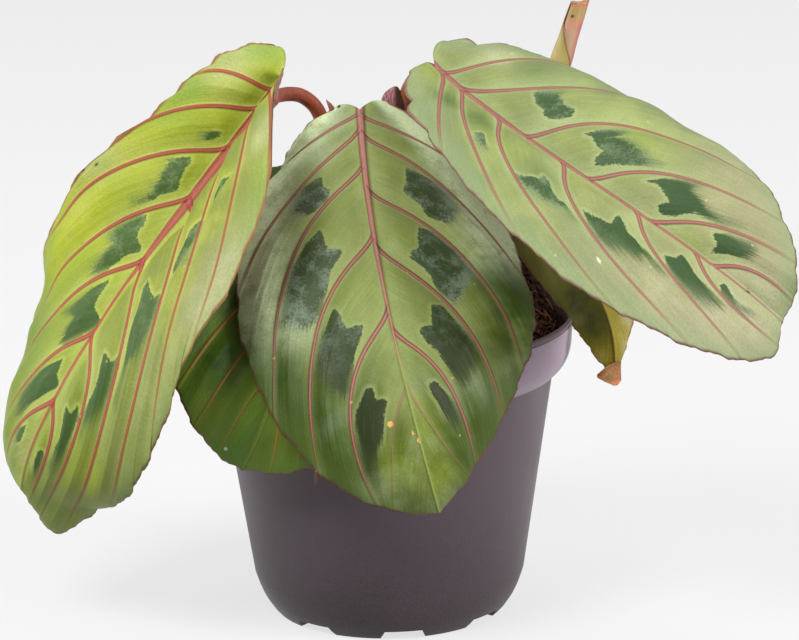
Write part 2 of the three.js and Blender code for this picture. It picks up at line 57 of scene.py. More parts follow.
class Signal:
    """One value in a shader graph; arithmetic on it adds nodes."""

    def __init__(self, graph, socket):
        self.graph, self.socket = graph, socket

    def __add__(self, other):
        return self.graph.math("ADD", self, other)

    def __sub__(self, other):
        return self.graph.math("SUBTRACT", self, other)

    def __rsub__(self, other):
        return self.graph.math("SUBTRACT", other, self)

    def __mul__(self, other):
        return self.graph.math("MULTIPLY", self, other)

    def __truediv__(self, other):
        return self.graph.math("DIVIDE", self, other)

    __radd__ = __add__

    def most(self, limit):
        return self.graph.math("MINIMUM", self, limit)

    def span(self, low, high, start=0.0, end=1.0, smooth=True):
        """The value carried from low..high to start..end and held beyond both."""
        kind = "SMOOTHSTEP" if smooth else "LINEAR"
        return self.graph.take("ShaderNodeMapRange", (self, low, high, start, end), interpolation_type=kind)


class Graph:
    """A writer of shader nodes with a base colour painted in layers. Tuples are sRGB colours."""

    def __init__(self, name, colour=None):
        self.material = bpy.data.materials.new(name)
        self.material.use_nodes = True
        self.tree = self.material.node_tree
        self.tree.nodes.clear()
        self.out = self.tree.nodes.new("ShaderNodeOutputMaterial")
        self.colour = colour

    def node(self, kind, inputs=(), **settings):
        made = self.tree.nodes.new(kind)
        for key, value in settings.items():
            setattr(made, key, value)
        for key, value in inputs.items() if isinstance(inputs, dict) else enumerate(inputs):
            if isinstance(value, Signal):
                self.tree.links.new(value.socket, made.inputs[key])
            else:
                made.inputs[key].default_value = linear(value) if isinstance(value, tuple) else value
        return made

    def take(self, kind, inputs=(), output=0, **settings):
        return Signal(self, self.node(kind, inputs, **settings).outputs[output])

    def math(self, kind, *values):
        return self.take("ShaderNodeMath", values, operation=kind)

    def mix(self, share, a, b, kind="MIX"):
        return self.take("ShaderNodeMix", {0: share, 6: a, 7: b}, 2, data_type="RGBA", blend_type=kind)

    def paint(self, share, colour, kind="MIX"):
        self.colour = self.mix(share, self.colour, colour, kind)

    def join(self, x, y, z):
        return self.take("ShaderNodeCombineXYZ", (x, y, z))

    def split(self, vector):
        return [Signal(self, part) for part in self.node("ShaderNodeSeparateXYZ", (vector,)).outputs]

    def attribute(self, name):
        return self.split(self.take("ShaderNodeAttribute", output="Vector", attribute_name=name))

    def place(self):
        return self.take("ShaderNodeTexCoord", output="Object")

    def drawn_out(self, where, squeeze):
        """The place with its Z squeezed, so that noise on it runs in upright streaks."""
        made = self.node("ShaderNodeMapping", {"Vector": where})
        made.inputs["Scale"].default_value[2] = squeeze
        return Signal(self, made.outputs[0])

    def noise(self, where, scale, detail=2.0, rough=0.5):
        inputs = {"Vector": where, "Scale": scale, "Detail": detail, "Roughness": rough}
        return self.take("ShaderNodeTexNoise", inputs, "Fac")

    def cells(self, where, scale):
        return self.take("ShaderNodeTexVoronoi", {"Vector": where, "Scale": scale}, "Distance")

    def finish(self, rough, height, specular):
        """The surface with its roughness, its relief in millimetres and its specular level."""
        relief = self.take("ShaderNodeBump", {"Strength": 1.0, "Distance": MM, "Height": height}, "Normal")
        inputs = {
            "Base Color": self.colour, "Roughness": rough, "Normal": relief, "Specular IOR Level": specular,
        }
        shader = self.node("ShaderNodeBsdfPrincipled", inputs)
        self.tree.links.new(shader.outputs[0], self.out.inputs[0])
        return self.material


# Meshes


def build(name, points, faces, *materials, smooth=True):
    mesh = bpy.data.meshes.new(name)
    mesh.from_pydata([tuple(p) for p in points], [], [tuple(f) for f in faces])
    mesh.update()
    thing = bpy.data.objects.new(name, mesh)
    bpy.context.scene.collection.objects.link(thing)
    for material in materials:
        mesh.materials.append(material)
    mesh.polygons.foreach_set("use_smooth", [smooth] * len(mesh.polygons))
    return thing


def carry(thing, node):
    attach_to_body(thing, "root")
    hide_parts(node)
    return thing


def attach(thing, tables):
    """Three values for each point, which the material reads as an attribute."""
    for name, rows in tables.items():
        attribute = thing.data.attributes.new(name, "FLOAT_VECTOR", "POINT")
        attribute.data.foreach_set("vector", np.array(rows, np.float32).ravel())


def face_outwards(mesh, weld=False):
    work = bmesh.new()
    work.from_mesh(mesh)
    if weld:
        bmesh.ops.remove_doubles(work, verts=work.verts, dist=1e-6)
        bmesh.ops.dissolve_degenerate(work, edges=work.edges, dist=1e-7)
    bmesh.ops.recalc_face_normals(work, faces=work.faces)
    work.to_mesh(mesh)
    work.free()


def stitch(parts):
    points, faces = [], []
    for p, f in parts:
        base = len(points)
        points.extend(tuple(v) for v in p)
        faces.extend(tuple(i + base for i in face) for face in f)
    return points, faces


def smooth_line(points, steps):
    """Catmull-Rom points through the given ones, any number of columns."""
    p = np.asarray(points, float)
    p = np.vstack([2 * p[0] - p[1], p, 2 * p[-1] - p[-2]])
    t = np.linspace(0, 1, steps, endpoint=False)[:, None]
    out = []
    for a, b, c, d in zip(p, p[1:], p[2:], p[3:]):
        bend, turn = 2 * a - 5 * b + 4 * c - d, 3 * b - a - 3 * c + d
        out.append(0.5 * (2 * b + (c - a) * t + bend * t * t + turn * t**3))
    return np.vstack(out + [p[-2][None]])


def unit(v):
    return v / np.maximum(np.linalg.norm(v, axis=-1, keepdims=True), 1e-12)


def travelled(line):
    return np.r_[0, np.cumsum(np.linalg.norm(np.diff(line, axis=0), axis=1))]


def sampled(x, stations, table):
    """Each column of a table, read between its stations at x."""
    return np.stack([np.interp(x, stations, column) for column in table.T], -1)


def swept(path, radii, sides, steps=8, rough=None):
    """A closed tube in millimetres with a radius at each point of path; rough(angle, share) scales it."""
    line = smooth_line(np.c_[np.asarray(path, float), np.asarray(radii, float)], steps)
    spots, sizes = line[:, :3], line[:, 3]
    tangent = unit(np.gradient(spots, axis=0))
    side = np.array([0.0, 1.0, 0.0]) if abs(tangent[0][1]) < 0.9 else np.array([1.0, 0.0, 0.0])
    last = len(spots) - 1
    points, faces = [], []
    for k, (spot, size, t) in enumerate(zip(spots, sizes, tangent)):
        side = unit(side - (side @ t) * t)
        other = np.cross(t, side)
        for i in range(sides):
            angle = TURN * i / sides
            r = size * (rough(angle, k / last) if rough else 1)
            points.append((spot + r * (math.cos(angle) * side + math.sin(angle) * other)) * MM)
    for k in range(last):
        for i in range(sides):
            a, b = k * sides + i, k * sides + (i + 1) % sides
            faces.append((a, b, b + sides, a + sides))
    for base, flip, spot in ((0, True, spots[0]), (last * sides, False, spots[-1])):
        centre = len(points)
        points.append(spot * MM)
        for i in range(sides):
            a, b = base + i, base + (i + 1) % sides
            faces.append((centre, b, a) if flip else (centre, a, b))
    return points, faces


def rotated(profile, segments):
    """A closed lathe of (radius, height) pairs in millimetres that starts and ends on the axis."""
    points, faces, rings = [], [], []
    for r, z in profile:
        count = segments if r > 0 else 1
        rings.append(range(len(points), len(points) + count))
        for i in range(count):
            a = TURN * i / segments
            points.append((r * math.cos(a) * MM, r * math.sin(a) * MM, z * MM))
    for low, high in zip(rings, rings[1:]):
        for i in range(segments):
            j = (i + 1) % segments
            if len(low) == 1:
                faces.append((low[0], high[j], high[i]))
            elif len(high) == 1:
                faces.append((low[i], low[j], high[0]))
            else:
                faces.append((low[i], low[j], high[j], high[i]))
    return points, faces


def sheet_faces(rows, columns):
    """Faces of a closed sheet whose points are a grid and then the same grid on its other skin."""
    size, faces = rows * columns, []
    for k in range(rows - 1):
        for a in range(k * columns, (k + 1) * columns - 1):
            b = a + columns
            faces += [(a, a + 1, b + 1, b), (a + size, b + size, b + 1 + size, a + 1 + size)]
    rim = [*range(columns), *range(2 * columns - 1, size, columns)]
    rim += [*range(size - 2, size - columns - 1, -1), *range(size - 2 * columns, 0, -columns)]
    faces += [(a, a + size, b + size, b) for a, b in zip(rim, rim[1:] + rim[:1])]
    return faces


# Leaf blades: the same flat outline, rib, bends and waves as the solids

OUTLINE = np.array(
    [(9, -4), (20, 1), (29, 12), (34.5, 27), (37, 45), (36, 63), (31, 81), (21.5, 98), (9.5, 111), (0, 118)],
    float,
)
OUTLINE_LENGTH = 118.0
WIDTH_STATIONS = (0, 0.2, 0.45, 0.7, 0.9)
BEND_STATIONS = (0, 0.33, 0.67, 1)
TWIST_STATIONS = (0, 0.5, 1)
LOBE_STATIONS, LOBE_SHARES = (81, 98, 111, 118), (0, 0.6, 1, 0)
CURL_SPAN = 38.0
FOLD_BLEND = 1.6
HALF = 0.24

LEAVES = {
    "front": dict(
        rib=[(-5, -4, 124), (-4, -31, 101), (3, -74, 82), (12, -52, 39)],
        side=(0.98, 0.05, 0.17), twist=(-4, 3, -8), seed=3, quilt=1.25,
        left=dict(rise=(-14, 1, 5, 13), curl=(16, 17, 26, 32), width=(0.72, 0.87, 0.94, 1.03, 1.15),
                  lobe=0.3, heel=0.6, wave=(0.7, 4.5, 0.4)),
        right=dict(rise=(-20, -22, -18, -11), curl=(23, 22, 20, 13), width=(0.81, 0.98, 1.04, 1.06, 1.07),
                   lobe=-0.9, heel=0.9, wave=(0.4, 3.5, 2.0)),
    ),
    "left": dict(
        rib=[(-24, -5, 131), (-42, -27, 112), (-82, -49, 68), (-87, -25, 38)],
        side=(0.83, -0.15, -0.53), twist=(31, 49, 28), seed=5, quilt=1.1,
        left=dict(rise=(61, 40, 9, -8), curl=(7, 20, 55, 88), width=(0.68, 0.56, 0.78, 1.02, 1.12),
                  lobe=4.1, heel=1.6, wave=(0.9, 6, 0.3)),
        right=dict(rise=(72, 36, 5, -21), curl=(38, 41, 30, 40), width=(0.4, 0.94, 1.04, 1.05, 1.08),
                   lobe=20.5, heel=0.2, wave=(0.6, 4, 1.0)),
    ),
    "right": dict(
        rib=[(13, -5, 134), (32, -29, 120), (65, -59, 109), (91, -51, 83)],
        side=(0.62, 0.21, 0.76), twist=(-41, -34, -25), seed=8, quilt=1.05,
        left=dict(rise=(32, 29, 17, 11), curl=(30, 24, 20, 20), width=(0.46, 0.74, 0.85, 0.93, 0.98),
                  lobe=7.3, heel=0.3, wave=(0.4, 4, 0.9)),
        right=dict(rise=(30, 33, 30, 27), curl=(89, 88, 83, 76), width=(0.7, 0.9, 1.02, 1.08, 1.1),
                   lobe=2.3, heel=1.4, wave=(0.5, 4.5, 2.4)),
    ),
    "back_left": dict(
        rib=[(-17, -4, 108), (-21, -22, 89), (-20, -58, 75.8), (-34, -39, 46.3)],
        side=(0.97, -0.06, -0.23), twist=(-2, -9, -8), seed=11, quilt=1.0,
        left=dict(rise=(-8, -3, 7, 8), curl=(43, 40, 37, 34), width=(0.85, 0.87, 0.89, 0.91, 0.91),
                  lobe=1, heel=0.8, wave=(0.5, 4, 1.7)),
        right=dict(rise=(-4, 26, 31, 18), curl=(24, 12, 4, 6), width=(0.8, 0.7, 0.66, 0.74, 0.82),
                   lobe=0, heel=0.8, wave=(0.3, 4, 0.2)),
    ),
    "back_right": dict(
        rib=[(31, 10, 94), (44, -8, 89), (57, -21, 82), (54, -17, 58.6)],
        side=(0.83, 0.15, 0.53), twist=(31, 24, 13), seed=14, quilt=0.4,
        left=dict(rise=(-26, -12, -8, -6), curl=(20, 14, 12, 12), width=(0.34, 0.3, 0.29, 0.3, 0.33),
                  lobe=-1.9, heel=1, wave=(0.3, 3, 0.5)),
        right=dict(rise=(-45, -35, -40, -55), curl=(20, 10, 10, 20), width=(0.36, 0.3, 0.26, 0.22, 0.22),
                   lobe=-1.8, heel=1, wave=(0.2, 3, 0.5)),
    ),
}

# Side veins: rib share, the point across and along that a vein is drawn towards, margin share.
VEINS = {
    ("front", "left"): (
        (0.0168, 7.1, 2.7, 0.169), (0.0678, 18.7, 16.6, 0.42), (0.17, 23.8, 31.3, 0.658),
        (0.361, 22.5, 53.9, 0.775), (0.545, 20, 73.4, 0.888), (0.715, 5.3, 79.6, 0.914),
    ),
    ("front", "right"): (
        (0.0256, 9.7, 3.6, 0.163), (0.084, 24.7, 14.6, 0.446), (0.24, 32.1, 37.2, 0.702),
        (0.392, 24.9, 58.9, 0.808), (0.592, 14.1, 72.8, 0.899), (0.71, 2.2, 83.2, 0.92),
    ),
    ("left", "left"): (
        (0.032, 14.2, 6.4, 0.162), (0.0823, 16.2, 17.8, 0.305), (0.186, 18.9, 32.7, 0.534),
        (0.31, 12.9, 46.4, 0.69), (0.459, 14.8, 66, 0.79), (0.625, 11.9, 84.7, 0.88),
        (0.777, 9.5, 103.5, 0.946),
    ),
    ("left", "right"): (
        (0.05, 22.1, 7.5, 0.263), (0.112, 25.7, 16.3, 0.465), (0.194, 24.5, 29.6, 0.606),
        (0.319, 30.1, 47.5, 0.772), (0.466, 25.9, 70.1, 0.895), (0.632, 17, 82.6, 0.943),
        (0.779, 7.3, 99.3, 0.975),
    ),
    ("right", "left"): (
        (0.0363, 11.1, 13, 0.308), (0.106, 15.8, 21.9, 0.491), (0.232, 20.5, 33.8, 0.659),
        (0.424, 17.9, 51.5, 0.774), (0.627, 10.7, 69.4, 0.871), (0.774, 8.2, 87.2, 0.958),
    ),
    ("right", "right"): (
        (0.0387, 19, 13, 0.241), (0.104, 15, 30.9, 0.398), (0.314, 25, 45.5, 0.745),
        (0.494, 16.2, 61.6, 0.835), (0.663, 9.7, 78.5, 0.899), (0.818, 6.5, 92.4, 0.96),
    ),
    ("back_left", "left"): (
        (0.03, 8, 2, 0.17), (0.1, 16, 13, 0.42), (0.22, 18, 26, 0.62), (0.37, 16, 38, 0.75),
        (0.529, 11.4, 46.5, 0.844), (0.675, 6.5, 57.8, 0.929),
    ),
}
# Dark patches: outlines of across,along pairs in half millimetres, one after the other.
PATCHES = {
    ("front", "left"): """
    23,36 20,37 20,43 17,45 19,50 23,53 26,56 32,57 36,55 37,49 34,42 29,38;
    25,68 23,69 23,73 22,80 19,80 15,82 18,86 21,89 23,92 24,97 26,101 28,105 30,109 33,114 39,117 46,115
    50,108 47,102 44,94 42,87 39,82 35,77 32,73;
    24,110 23,112 22,115 20,122 16,121 12,122 15,127 19,133 21,139 23,144 25,149 29,154 31,149 35,146 38,137
    38,134 36,128 33,123 29,117 26,112;
    18,150 15,150 15,156 12,156 10,157 13,163 15,169 17,174 21,180 24,188 29,187 28,178 27,170 27,165 25,159
    22,155""",
    ("front", "right"): """
    20,32 27,34 37,38 43,44 45,54 39,65 33,64 27,62 24,55 17,50 17,47 19,43 19,38;
    22,70 29,70 35,75 41,82 46,89 48,96 42,102 36,113 32,116 28,111 24,105 24,100 20,95 16,91 14,89 16,86
    20,84 20,77;
    20,116 26,116 30,124 35,132 39,140 38,148 33,154 27,161 25,159 23,154 20,145 18,140 14,135 11,129 14,127
    18,127 19,121;
    10,154 14,154 17,160 20,166 22,173 20,177 17,178 14,173 12,164 10,159""",
    ("left", "left"): """
    15,45 11,41 8,39 7,41 9,45 13,48;
    19,64 15,60 11,57 10,59 10,64 9,69 8,70 7,73 9,76 13,81 13,83 18,88 21,89 17,84 16,80 18,79 16,75 18,71
    18,67;
    24,104 20,97 17,93 12,91 10,94 10,98 9,102 4,105 4,107 8,111 10,116 12,120 14,125 19,129 21,125 20,119
    19,115 18,111 24,110;
    23,152 18,142 15,134 10,127 9,124 8,129 8,134 7,140 5,141 1,143 0,147 2,150 5,154 8,159 12,165 15,164
    15,158 14,150;
    20,190 17,182 12,175 7,169 6,172 5,177 2,179 2,182 5,186 8,192 12,199 15,208 18,211 19,206 22,202
    22,196;
    13,215 8,208 7,212 7,218 10,221 13,219""",
    ("left", "right"): """
    44,62 44,69 43,76 41,73 40,66;
    37,84 39,83 43,87 43,92 43,97 43,101 41,106 39,109 36,105 36,100 37,96 36,91 35,88;
    23,120 24,116 28,118 35,121 36,118 39,119 42,127 42,134 40,139 41,145 37,148 37,154 37,161 38,168 35,167
    35,159 34,152 32,147 30,142 28,136 28,129 26,124;
    19,152 25,154 27,149 30,152 31,160 31,167 31,174 26,183 23,187 23,192 21,187 20,182 20,176 22,168 21,162
    19,156;
    10,184 14,186 15,180 18,184 18,193 18,201 18,210 15,218 13,222 11,217 12,212 12,205 13,200 12,193 10,187;
    4,214 6,212 8,215 8,223 7,231 5,228 4,220""",
    ("right", "right"): """
    20,50 25,52 30,57 26,63 23,69 25,74 21,76 16,73 13,67 14,64 16,63 15,61 16,57 18,54;
    17,88 22,91 27,95 32,102 28,103 24,101 27,107 27,113 26,121 26,127 22,124 17,116 13,110 9,106 7,102
    10,101 15,102 15,98 16,95 18,92 16,89;
    14,126 20,132 26,140 29,148 25,147 23,147 22,152 20,158 20,166 22,175 18,168 16,160 15,154 12,151 9,148
    5,142 7,139 9,139 12,142 14,138 16,133;
    12,166 16,172 17,177 20,184 17,186 13,187 10,182 8,177 4,170 9,171 10,168""",
    ("right", "left"): """
    29,57 26,60 32,67 35,70 35,66 33,62;
    33,86 32,90 29,92 28,95 23,94 24,98 28,103 30,108 28,110 30,115 33,119 33,116 33,112 36,110 37,105
    37,100 38,94 36,90;
    23,117 23,122 22,126 21,130 16,129 12,129 14,133 18,138 18,142 19,146 19,149 21,157 23,161 24,157 23,149
    28,149 29,143 32,136 32,130 29,124;
    14,155 12,160 10,160 7,161 9,165 12,170 13,177 14,182 15,188 18,187 21,182 23,175 22,168 20,163 17,158;
    7,182 5,184 8,189 9,194 8,199 8,202 11,198 12,192 11,187 10,184""",
}
# Cloudy places of each kind: across, along, radius, strength. Most deep places are darker mottling and some,
# marked below, are painted shade; the pale places are painted sheen with some pale mottling among them.
BLOTCHES = {
    ("front", "left"): dict(
        pale=[(28.4, 39.4, 5, 0.9), (26.5, 31.1, 4.5, 0.8), (28.4, 47.4, 4.5, 0.7), (5.8, 1.4, 4, 0.6),
            (10.6, 9.2, 4.5, 0.6), (21.5, 57.2, 4, 0.5), (13.6, 97.5, 3.5, 0.5)],
        deep=[(31.9, 59.1, 5, 0.8), (29.2, 67.6, 6, 0.7), (18.7, 79.8, 6, 0.6), (24.9, 75.8, 6, 0.5),
            (16, 87.4, 5, 0.5), (12.1, 81.4, 5, 0.5)],
        warm=[(6.2, 95, 5, 0.6)],
    ),
    ("front", "right"): dict(
        pale=[(27.8, 14.5, 4, 0.9), (32.8, 20.2, 4.5, 0.9), (36.6, 28.9, 4, 0.7), (8.9, -1.7, 4, 0.6),
            (17.2, 11.1, 4, 0.4), (17.4, 81.9, 4, 0.5), (3.7, 76.7, 3, 0.4), (23.9, 78.9, 4, 0.35),
            (2.5, 105, 3, 0.5)],
        # the first two deep places are a painted shadow cast by the right leaf
        deep=[(29.5, 48.4, 6, 1), (36.8, 40.7, 5, 1), (29.5, 59.1, 5, 0.7), (8.4, 87.1, 6, 0.5),
            (11.7, 94.7, 6, 0.4)],
        warm=[(1, 100.8, 5, 0.8), (2.2, 88.8, 6, 0.6)],
    ),
    ("left", "left"): dict(
        pale=[(12.1, 7.5, 5, 0.5), (23.1, 40.8, 5, 0.35), (1.3, 111.4, 5, 0.6)],
        deep=[(19.6, 84.8, 5, 0.4)],
        warm=[(21.6, 32.3, 8, 0.7), (22.6, 54.4, 9, 0.9), (22.8, 66, 7, 0.7)],
    ),
    ("left", "right"): dict(
        pale=[(36.5, 49.5, 7, 0.8), (35.1, 57.7, 7, 0.8), (34.6, 70.7, 8, 0.7), (29, 80.2, 9, 0.9),
            (25.6, 20.5, 5, 0.6), (22.7, 92.1, 7, 0.6)],
        deep=[(33.9, 81.1, 5, 0.5), (24.7, 107.8, 5, 0.4)],
        warm=[(16.9, 105.6, 6, 0.5)],
    ),
    ("right", "left"): dict(
        pale=[(18.3, 71.2, 6, 0.5), (15.9, 81.9, 6, 0.8), (11.5, 92.6, 7, 1), (5.9, 99.9, 6, 1)],
        # the first deep place is painted shade in a fold below the first side vein
        deep=[(10.3, 14.7, 3.5, 1), (8.8, 25.3, 4, 0.7), (11, 46.5, 4, 0.4)],
        warm=[(4.9, 1.9, 5, 0.7), (11.8, 32.5, 5, 0.5)],
    ),
    ("right", "right"): dict(
        pale=[(12.2, 8.6, 4, 0.5), (22.9, 80.3, 6, 0.5), (19.5, 88.4, 6, 0.5), (1.6, 99.4, 7, 1),
            (26.6, 72.6, 5, 0.4)],
        deep=[(15.5, 18.5, 5, 0.4), (6.7, 108.5, 4, 1)],
        warm=[(13.5, 53.6, 8, 0.5), (0.1, 81.1, 6, 0.4)],
    ),
    ("back_left", "left"): dict(
        deep=[(13.5, 56.5, 6, 1), (20.7, 53.3, 5, 0.8), (13.3, 41.8, 5, 0.8)],
        warm=[(13, 63.9, 6, 0.7), (14.2, 71.2, 6, 0.5)],
    ),
    ("back_left", "right"): dict(
        deep=[(1.2, 71.1, 6, 0.5)],
        warm=[(4.9, 62.5, 6, 0.8), (3.6, 73.1, 6, 0.6)],
    ),
    ("back_right", "right"): dict(
        pale=[(8, 38, 2.6, 1.2), (6, 43, 2.2, 1.2), (4, 48, 1.8, 1)],
        warm=[(3, 36, 5, 1), (3, 44, 4, 0.9)],
    ),
    ("back_right", "left"): dict(
        deep=[(4, 40, 5, 1), (6, 32, 6, 0.9)],
        warm=[(1, 50, 4, 0.8)],
    ),
}
# Small spots of each kind: across, along, radius.
MARKS = {
    ("front", "left"): dict(
        orange=[(5.7, 83.9, 0.55), (0.2, 89.5, 0.44), (1.1, 87.4, 0.33)], dark=[(5, -2.1, 0.39)]
    ),
    ("right", "left"): dict(dark=[(26.5, 24.4, 0.55)], white=[(21.2, 68.8, 0.5)]),
    ("right", "right"): dict(dark=[(0.3, 97.2, 0.39)]),
    ("left", "left"): dict(dark=[(23.2, 42.1, 0.39), (25.4, 45, 0.33), (17.4, 59.2, 0.33)]),
    ("back_left", "left"): dict(white=[(5.9, 76.4, 0.44)]),
}
# Side veins that are fainter than the rest: blade, half, number from the base.
VEIN_STRENGTH = {
    ("front", "left", 5): 0.4, ("front", "right", 5): 0.4,
    ("back_left", "left", 4): 0.7, ("back_left", "left", 5): 0.5,
}
# Veins of the halves that have no list of their own: rib share, margin share.
PLAIN_VEINS = ((0.03, 0.17), (0.09, 0.4), (0.2, 0.62), (0.35, 0.76), (0.52, 0.86), (0.7, 0.93))
# Bumps and nicks of the margins: share along the margin, height, half width.
NICKS = {
    ("right", "right"): [(0.035, 0.3, 2.5), (0.07, -3.4, 2.0), (0.1, 0.9, 2.5), (0.82, -0.5, 5.0)],
    ("right", "left"): [
        (0.015, -1.9, 4.0), (0.135, 1.9, 4.5), (0.17, -0.6, 1.3), (0.205, 2.0, 4.0), (0.25, -0.9, 1.4),
        (0.9, 0.4, 4.0),
    ],
    ("front", "left"): [(0.14, -2.3, 8.0), (0.118, 0.8, 1.2), (0.17, -0.5, 1.5), (0.02, -0.5, 2.5)],
    ("front", "right"): [(0.03, 0.5, 3.0), (0.32, 1.5, 8.0), (0.66, 0.6, 6.0)],
    ("left", "left"): [
        (0.115, 0.5, 1.5), (0.135, -0.7, 1.6), (0.17, 0.5, 2.0), (0.2, -0.6, 1.5), (0.27, -0.8, 2.0),
        (0.3, 0.6, 2.5),
    ],
    ("left", "right"): [(0.28, 1.9, 8.0), (0.47, -2.9, 11.0), (0.85, -0.6, 3.0)],
    ("back_left", "left"): [(0.4, 0.4, 3.0)],
}
# Waves of a ragged margin: period, height.
RAGGED = ((13.0, 0.22), (6.3, 0.16), (3.1, 0.09), (1.9, 0.05))
COLUMNS = 54
ROW_STEP = 0.95
NO_VEIN, NO_PATCH = 30.0, 20.0
RIB_DIP = 3.0


def eased(xs, ys, x):
    """A smooth curve through the stations xs, ys, read at x."""
    xs, ys = np.asarray(xs, float), np.asarray(ys, float)
    m = np.empty(len(xs))
    m[0] = (ys[1] - ys[0]) / (xs[1] - xs[0])
    m[-1] = (ys[-1] - ys[-2]) / (xs[-1] - xs[-2])
    m[1:-1] = (ys[2:] - ys[:-2]) / (xs[2:] - xs[:-2])
    x = np.clip(x, xs[0], xs[-1])
    i = np.clip(np.searchsorted(xs, x, side="right") - 1, 0, len(xs) - 2)
    h = xs[i + 1] - xs[i]
    t = (x - xs[i]) / h
    leave, arrive = m[i] * h * t * (1 - t) ** 2, m[i + 1] * h * t * t * (t - 1)
    return ys[i] * (1 + 2 * t) * (1 - t) ** 2 + leave + ys[i + 1] * t * t * (3 - 2 * t) + arrive


class Blade:
    """The curved sheet of a blade: two halves that rise and curl away from a cubic rib."""

    def __init__(self, key):
        self.key, self.spec = key, LEAVES[key]
        c = np.array(self.spec["rib"], float)
        t = np.linspace(0, 1, 401)[:, None]
        s = 1 - t
        self.line = c[0] * s**3 + 3 * c[1] * t * s**2 + 3 * c[2] * t * t * s + c[3] * t**3
        self.tangents = unit((c[1] - c[0]) * s**2 + 2 * (c[2] - c[1]) * t * s + (c[3] - c[2]) * t * t)
        self.reach = travelled(self.line)
        self.length = self.reach[-1]
        self.chord = unit(c[3] - c[0])
        self.margins = {half: self.outline(self.spec[half]) for half in ("left", "right")}

    def outline(self, s):
        x = OUTLINE[:, 0] * eased(WIDTH_STATIONS, s["width"], OUTLINE[:, 1] / OUTLINE_LENGTH)
        y = OUTLINE[:, 1] * self.length / OUTLINE_LENGTH
        y[0] *= s["heel"]
        y = y + s["lobe"] * np.interp(OUTLINE[:, 1], LOBE_STATIONS, LOBE_SHARES)
        edge = smooth_line(np.c_[x, y], 12)
        along = travelled(edge)
        return edge, along / along[-1]

    def margin(self, half, share):
        edge, along = self.margins[half]
        return sampled(share, along, edge)

    def frame(self, y):
        held = np.clip(y, 0, self.length)
        tangent = unit(sampled(held, self.reach, self.tangents))
        spot = sampled(held, self.reach, self.line) + tangent * (y - held)[..., None]
        share = held / self.length
        turn = np.radians(eased(TWIST_STATIONS, self.spec["twist"], share))[..., None]
        v, chord = np.array(self.spec["side"], float), self.chord
        side = v * np.cos(turn) + np.cross(chord, v) * np.sin(turn) + chord * (chord @ v) * (1 - np.cos(turn))
        across = unit(side - (side * tangent).sum(-1, keepdims=True) * tangent)
        return share, spot, across, np.cross(tangent, across)

    def put(self, half, x, y, lift):
        """Millimetre points of flat x (0 or more), y on that half, raised from the sheet by lift."""
        share, spot, across, normal = self.frame(y)
        s, sign = self.spec[half], -1.0 if half == "left" else 1.0
        rise = np.radians(eased(BEND_STATIONS, s["rise"], share))
        curl = np.radians(eased(BEND_STATIONS, s["curl"], share)) / CURL_SPAN
        angle = rise - curl * x
        out = (np.sin(rise) - np.sin(angle)) / curl
        up = (np.cos(angle) - np.cos(rise)) / curl
        lean = angle * np.minimum(x / FOLD_BLEND, 1)
        thick = lift / np.maximum(np.cos(angle - lean), 0.45)
        point = spot + across * (sign * out)[..., None] + normal * up[..., None]
        point = point + normal * (np.cos(lean) * thick)[..., None]
        return point - across * (sign * np.sin(lean) * thick)[..., None]

    def wave(self, half, x, y):
        height, count, phase = self.spec[half]["wave"]
        share = np.clip(y / self.length, 0, 1)
        widest = self.margins[half][0][:, 0].max()
        return height * (x / widest) ** 3 * np.sin(math.pi * share) * np.sin(TURN * count * share + phase)

    def veins(self, half):
        """Row knots: rib share, the point a vein is drawn towards, margin share and strength."""
        edge, tip = self.margin(half, 0.0), self.margin(half, 1.0)
        knots = [(0.0, 0.45 * edge[0], edge[1] - 1, 0.0, 0.0)]
        for i, v in enumerate(VEINS.get((self.key, half), ())):
            knots.append((*v, VEIN_STRENGTH.get((self.key, half, i), 1.0)))
        if len(knots) == 1:
            for g, e in PLAIN_VEINS:
                end, start = self.margin(half, e), g * self.length
                faint = 0.25 if self.key == "back_right" else 0.6
                knots.append((g, 0.62 * end[0], start + 0.3 * (end[1] - start), e, faint))
        return np.array(knots + [(1.0, 0.0, tip[1], 1.0, 0.0)], float)


def edge_distance(points, line):
    best = np.full(len(points), 1e9)
    for a, b in zip(line, line[1:]):
        d = b - a
        t = np.clip(((points - a) @ d) / max(d @ d, 1e-9), 0, 1)
        best = np.minimum(best, np.linalg.norm(points - a - t[:, None] * d, axis=1))
    return best


def polygon_distance(points, polygon):
    """Signed distance from each point to a polygon, negative inside."""
    closed = np.vstack([polygon, polygon[:1]])
    inside = np.zeros(len(points), bool)
    for a, b in zip(closed, closed[1:]):
        cross = (a[1] > points[:, 1]) != (b[1] > points[:, 1])
        with np.errstate(divide="ignore", invalid="ignore"):
            hit = points[:, 0] < (b[0] - a[0]) * (points[:, 1] - a[1]) / (b[1] - a[1]) + a[0]
        inside ^= cross & hit
    far = edge_distance(points, closed)
    return np.where(inside, -far, far)


def nearest_patch(flat, shares, text):
    """How far out each point lies in the nearest dark patch, and its signed distance to that patch."""
    outward, patch = np.zeros(len(flat)), np.full(len(flat), NO_PATCH)
    for outline in filter(None, text.split(";")):
        polygon = np.array([[int(v) / 2 for v in pair.split(",")] for pair in outline.split()])
        away = polygon_distance(flat, polygon)
        inside = shares[away < 0]
        if not len(inside):
            continue
        low, high = inside.min(), inside.max()
        here = away < patch
        patch = np.where(here, away, patch)
        outward = np.where(here, np.clip((shares - low) / max(high - low, 0.05), -0.5, 1.5), outward)
    return outward, patch


def scattered(flat, places, kinds, squash, strength):
    """For each kind of place, the strongest one at each point, as a function of the distance in radii."""
    found = np.zeros((len(kinds), len(flat)))
    for k, kind in enumerate(kinds):
        for cx, cy, radius, *amount in places.get(kind, ()):
            d = np.hypot(flat[:, 0] - cx, (flat[:, 1] - cy) * squash) / radius
            found[k] = np.maximum(found[k], strength(d, *amount))
    return found.T


